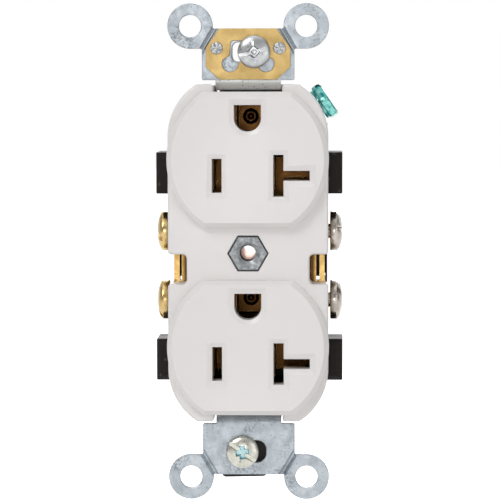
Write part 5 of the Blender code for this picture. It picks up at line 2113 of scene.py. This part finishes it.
class Contacts:
    """The contact strips, ground clips and ground rivets inside the housing."""

    def keep(self, node: str, surface: Surface, edge: float) -> None:
        """Gives a CAD node its finish and softly broken edges.

        Args:
            node: The node's name.
            surface: Its finish.
            edge: The rounding of its edges.
        """
        piece = frame["nodes"][node]
        finish = surface.value.material()
        if not piece.material_slots:
            piece.data.materials.append(finish)
        for slot in piece.material_slots:
            slot.material = finish
        break_edges(piece, edge, 40).harden_normals = True
        LOG.info("%s keeps its solid", node)

    def ground_rivet(self, end: End) -> Piece:
        """A domed rivet from a ground clip's base to the back of the strap.

        Args:
            end: The end of the outlet.

        Returns:
            The rivet.
        """
        node = f"ground_rivet_{end.label}"
        front, back = low_high(node, 1)
        place = axis_at((0.0, 0.0, LAYOUT.ground[end]), (0, -1, 0))
        rows = rows_from(
            -front, (0, -0.24), (0.45, -0.22), (0.65, -0.05), (0.85, 0), (1.15, -0.06),
            (1.45, -0.18), (1.65, -0.38), (1.7, -0.6), (1.1, -0.6),
        )
        rows += rows_from(
            -back, (1.1, 0.36), (1.66, 0.36), (1.7, 0.2), (1.4, 0.04), (1.1, 0), (0.5, 0.16),
            (0, 0.2),
        )
        rivet = turned(f"ground_clip_rivet_{end.label}", rows, place, steps=40)
        return dress(rivet, Surface.CONTACT, "root", node, 45.0)

    def build(self) -> None:
        """Dresses the strips and clips and makes the rivets."""
        for side in Side:
            self.keep(f"{side.label}_contact_strip", Surface.CONTACT, 0.07 * MM)
        for end in End:
            self.keep(f"ground_contact_{end.label}", Surface.CONTACT, 0.07 * MM)
            self.ground_rivet(end)


@dataclass
class GroundScrew:
    """The green hexagonal ground screw with its collar and slot.

    Attributes:
        flats: Across the head's flats.
        height: The head's height.
        collar: The collar's radius and thickness.
        shank: The shank's radius and length.
        slot: The driver slot's width and depth.
        groove: The thread's depth.
        turn: The head's turn in degrees.
        corner: The rounding of the head's corners.
    """

    flats: float = 7.4 * MM
    height: float = 2.1 * MM
    collar: Point = (3.4 * MM, 0.6 * MM)
    shank: Point = (1.95 * MM, 6.4 * MM)
    slot: Point = (1.2 * MM, 1.1 * MM)
    groove: float = 0.34 * MM
    turn: float = 24.0
    corner: float = 1.0 * MM

    def build(self) -> Piece:
        """Makes the screw.

        Returns:
            The screw.
        """
        place = GroundTab().placement(self.turn)
        rings = rings_from(0.0, (-0.5, 0.0), (-0.16, 0.1), (0.0, 0.36))
        rings += rings_from(self.height, (0.0, -0.62), (-0.14, -0.28), (-0.4, -0.08), (-0.72, 0.0))
        outline = with_corners(cornered(hexagon(self.flats), self.corner))
        head = profiled("green_ground_screw", outline, rings, Facing.TOP, place)
        radius, thick = self.collar
        rows = [Row(0.0, 0.3 * MM), *rows_from(0.0, (-0.15, 0.3), (0, 0.1), radius=radius)]
        rows += rows_from(-thick, (0, 0.15), (-0.12, 0), radius=radius)
        rows += threaded(self.shank[0], -thick, -self.shank[1], self.groove, 0.6 * MM)
        shape(head, [turned("shank", rows, place, 0.79 * MM)], "UNION")
        width, depth = self.slot
        low = (-self.flats, -width / 2, self.height - depth)
        shape(head, [local_slab("slot", low, (self.flats, width / 2, self.height + MM), place)])
        return dress(head, Surface.GREEN, "ground_screw", "ground_screw", 40.0)


@dataclass
class CentreFastening:
    """The cast bushing in the middle and the tubular rivet that meets it.

    Attributes:
        flats: Across the bushing's flats.
        bore: The bore's radius and the countersink's radius.
        socket: The radius and depth of the socket in its back.
        tube: The rivet's outer and inner radius.
        flange: The flange's radius and thickness.
    """

    flats: float = 7.0 * MM
    bore: Point = (1.8 * MM, 2.35 * MM)
    socket: Point = (2.3 * MM, 2.6 * MM)
    tube: Point = (2.05 * MM, 1.6 * MM)
    flange: Point = (3.2 * MM, 0.6 * MM)

    def bushing(self) -> Piece:
        """The hexagonal bushing with its threaded bore.

        Returns:
            The bushing.
        """
        front, back = low_high("center_bushing", 1)
        outline = with_corners(cornered(hexagon(self.flats), 0.3 * MM))
        rings = soft_rings(front, back, 0.28 * MM, 0.1 * MM, 3)
        piece = profiled("cast_bushing", outline, rings)
        radius, sink = self.bore
        place = axis_at((0.0, front, 0.0), (0, -1, 0))
        rows = [Row(0.0, MM)]
        rows += rows_from(0.0, (0.3, 1.0), (0.3, 0.03), (0.0, -0.06), radius=sink)
        rows.append(Row(radius + 0.06 * MM, -0.5 * MM))
        stop, beyond = -(back - front - self.socket[1]), -9 * MM
        height = -0.55 * MM
        while height > stop:
            rows.append(Row(radius, height, 0.22 * MM))
            height -= 0.1 * MM
        wide = self.socket[0]
        rows += [Row(radius, stop), Row(wide, stop), Row(wide, beyond), Row(0.0, beyond)]
        shape(piece, [turned("bore", rows, place, 0.794 * MM, 40)])
        return dress(piece, Surface.CAST, "root", "center_bushing", 40.0)

    def rivet(self) -> Piece:
        """The tubular rivet with its rolled flange.

        Returns:
            The rivet.
        """
        front, back = low_high("assembly_rivet", 1)
        outer, inner = self.tube
        flange, thick = self.flange
        rows = [
            Row(outer, -front - 0.1 * MM), Row(outer, -back + thick),
            Row(flange - 0.2 * MM, -back + thick), Row(flange, -back + thick * 0.55),
            Row(flange - 0.12 * MM, -back + thick * 0.2), Row(flange - 0.6 * MM, -back),
            *rows_from(-back, (0.55, 0), (0.16, 0.16), (0, 0.5), radius=inner),
            *rows_from(-front, (0, -0.1), (0.1, 0), radius=inner), Row(outer - 0.1 * MM, -front),
        ]
        place = axis_at((0.0,) * 3, (0, -1, 0))
        piece = turned("tubular_rivet", rows, place, closed=True)
        return dress(piece, Surface.COPPER, "root", "assembly_rivet", 45.0)

    def build(self) -> None:
        """Makes the bushing and the rivet."""
        self.bushing()
        self.rivet()


# --- Studio ---
@dataclass
class Studio:
    """A white room with soft lights and the camera.

    Attributes:
        azimuth: The camera's turn towards +X, in degrees.
        elevation: Its height above the object's middle, in degrees.
        roll: Its roll, in degrees.
        distance: From the target to the camera.
        target: The point that it looks at.
        lens: The focal length in millimetres on a 36 mm sensor.
        floor: The floor's level.
        lamps: Each area light's name, place, width and height, and watts.
    """

    azimuth: float = 1.726
    elevation: float = 3.589
    roll: float = -0.105
    distance: float = 0.5966
    target: Spot = (0.000282, 0.0, 0.000435)
    lens: float = 206.0
    floor: float = -0.12
    lamps: tuple[tuple[str, Spot, Point, float], ...] = (
        ("key", (-0.42, -0.62, 0.62), (0.40, 0.40), 3.3),
        ("fill", (0.60, -0.70, 0.10), (0.5, 0.6), 1.2),
        ("top", (0.0, -0.10, 0.75), (0.6, 0.4), 0.4),
        ("front", (-0.02, -0.85, 0.05), (0.16, 0.16), 0.5),
        ("back", (0.1, 0.8, 0.35), (0.6, 0.5), 2.5),
    )

    def camera(self) -> Piece:
        """Sets up the camera.

        Returns:
            The camera.
        """
        turn, rise = math.radians(self.azimuth), math.radians(self.elevation)
        back = Vector(
            (math.sin(turn) * math.cos(rise), -math.cos(turn) * math.cos(rise), math.sin(rise))
        )
        data = bpy.data.cameras.new("camera")
        data.lens = self.lens
        data.sensor_width = 36.0
        data.clip_start = 0.01
        made = bpy.data.objects.new("camera", data)
        bpy.context.scene.collection.objects.link(made)
        turned_to = back.to_track_quat("Z", "Y").to_matrix().to_4x4()
        rolled = turned_to @ spin(self.roll)
        made.matrix_world = Matrix.Translation(Vector(self.target) + back * self.distance) @ rolled
        bpy.context.scene.camera = made
        return made

    def lamp(self, name: str, spot: Spot, size: Point, power: float) -> Piece:
        """An area light that faces the object.

        Args:
            name: The lamp's name.
            spot: Where it stands.
            size: Its width and height.
            power: Its power in watts.

        Returns:
            The lamp.
        """
        data = bpy.data.lights.new(name, "AREA")
        data.shape = "RECTANGLE"
        data.size, data.size_y = size
        data.energy = power
        made = bpy.data.objects.new(name, data)
        bpy.context.scene.collection.objects.link(made)
        aim = Vector(spot).to_track_quat("Z", "Y").to_matrix().to_4x4()
        made.matrix_world = Matrix.Translation(Vector(spot)) @ aim
        return made

    def world(self) -> None:
        """A white surround that lights the object more softly than it looks."""
        world = bpy.data.worlds.new("white_room")
        bpy.context.scene.world = world
        world.use_nodes = True
        tree = world.node_tree
        graph = Graph(tree)
        background = tree.nodes["Background"]
        background.inputs["Color"].default_value = (1.0, 1.0, 1.0, 1.0)
        where = graph.add("TexCoord").outputs["Generated"]
        parts = graph.add("SeparateXYZ", Vector=where).outputs
        depth, height = parts["Y"], parts["Z"]
        uneven = graph.add("TexNoise", Vector=where, Scale=2.2, Detail=1.0).outputs["Fac"]
        room = graph.spread(uneven, 0.38, 0.62, 0.10, 0.55)
        for way, start, full, bright in (
            (depth, -0.30, -0.85, 0.28), (depth, 0.25, 0.80, 0.90), (height, 0.35, 0.85, 0.85),
        ):
            room = graph.math("MAXIMUM", room, graph.spread(way, start, full, 0.0, bright))
        path = graph.add("LightPath").outputs
        soft = graph.spread(path["Is Glossy Ray"], 0.0, 1.0, 0.36, 0.0)
        mirrored_room = graph.math("MULTIPLY", path["Is Glossy Ray"], room)
        seen = graph.math("MAXIMUM", path["Is Camera Ray"], mirrored_room)
        graph.feed(background.inputs["Strength"], graph.math("MAXIMUM", seen, soft))

    def ground(self) -> Piece:
        """The pale floor under the object.

        Returns:
            The floor.
        """
        outline = rectangle((-4.0, -4.0), (4.0, 4.0), 0.5)
        rings = [(0.0, self.floor - 0.01), (0.0, self.floor)]
        floor = profiled("floor", outline, rings, Facing.TOP)
        made = bpy.data.materials.new("pale_floor")
        made.use_nodes = True
        shader = made.node_tree.nodes["Principled BSDF"]
        graph = Graph(made.node_tree)
        mask = graph.effect(uneven_patches(), Scale=3.0, Detail=2.0, Contrast=1.0)
        pale = graph.blend(mask.outputs["Mask"], (0.93, 0.93, 0.93), (0.95, 0.95, 0.95))
        graph.feed(shader.inputs["Base Color"], pale)
        shader.inputs["Roughness"].default_value = 0.9
        shader.inputs["Emission Color"].default_value = (1.0, 1.0, 1.0, 1.0)
        path = graph.add("LightPath").outputs
        seen = graph.spread(path["Is Camera Ray"], 0.0, 1.0, 0.0, 0.8)
        mirrored_floor = graph.spread(path["Is Glossy Ray"], 0.0, 1.0, 0.0, 0.4)
        glow = graph.math("MAXIMUM", seen, mirrored_floor)
        graph.feed(shader.inputs["Emission Strength"], glow)
        floor.data.materials.append(made)
        return floor

    def build(self) -> None:
        """Sets up the whole studio."""
        self.camera()
        self.world()
        self.ground()
        for lamp in self.lamps:
            self.lamp(*lamp)
        bpy.context.scene.view_settings.view_transform = "Standard"


def main() -> None:
    """Builds the outlet, piece by piece, and the studio round it."""
    logging.basicConfig(level=logging.INFO, format="%(message)s")
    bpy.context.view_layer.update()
    for part in (
        Studio, FrontCover, BackBody, MountingStrap, GroundingClip, MountingScrews,
        TerminalScrews, Contacts, GroundScrew, CentreFastening,
    ):
        part().build()


if __name__ == "__main__":
    main()
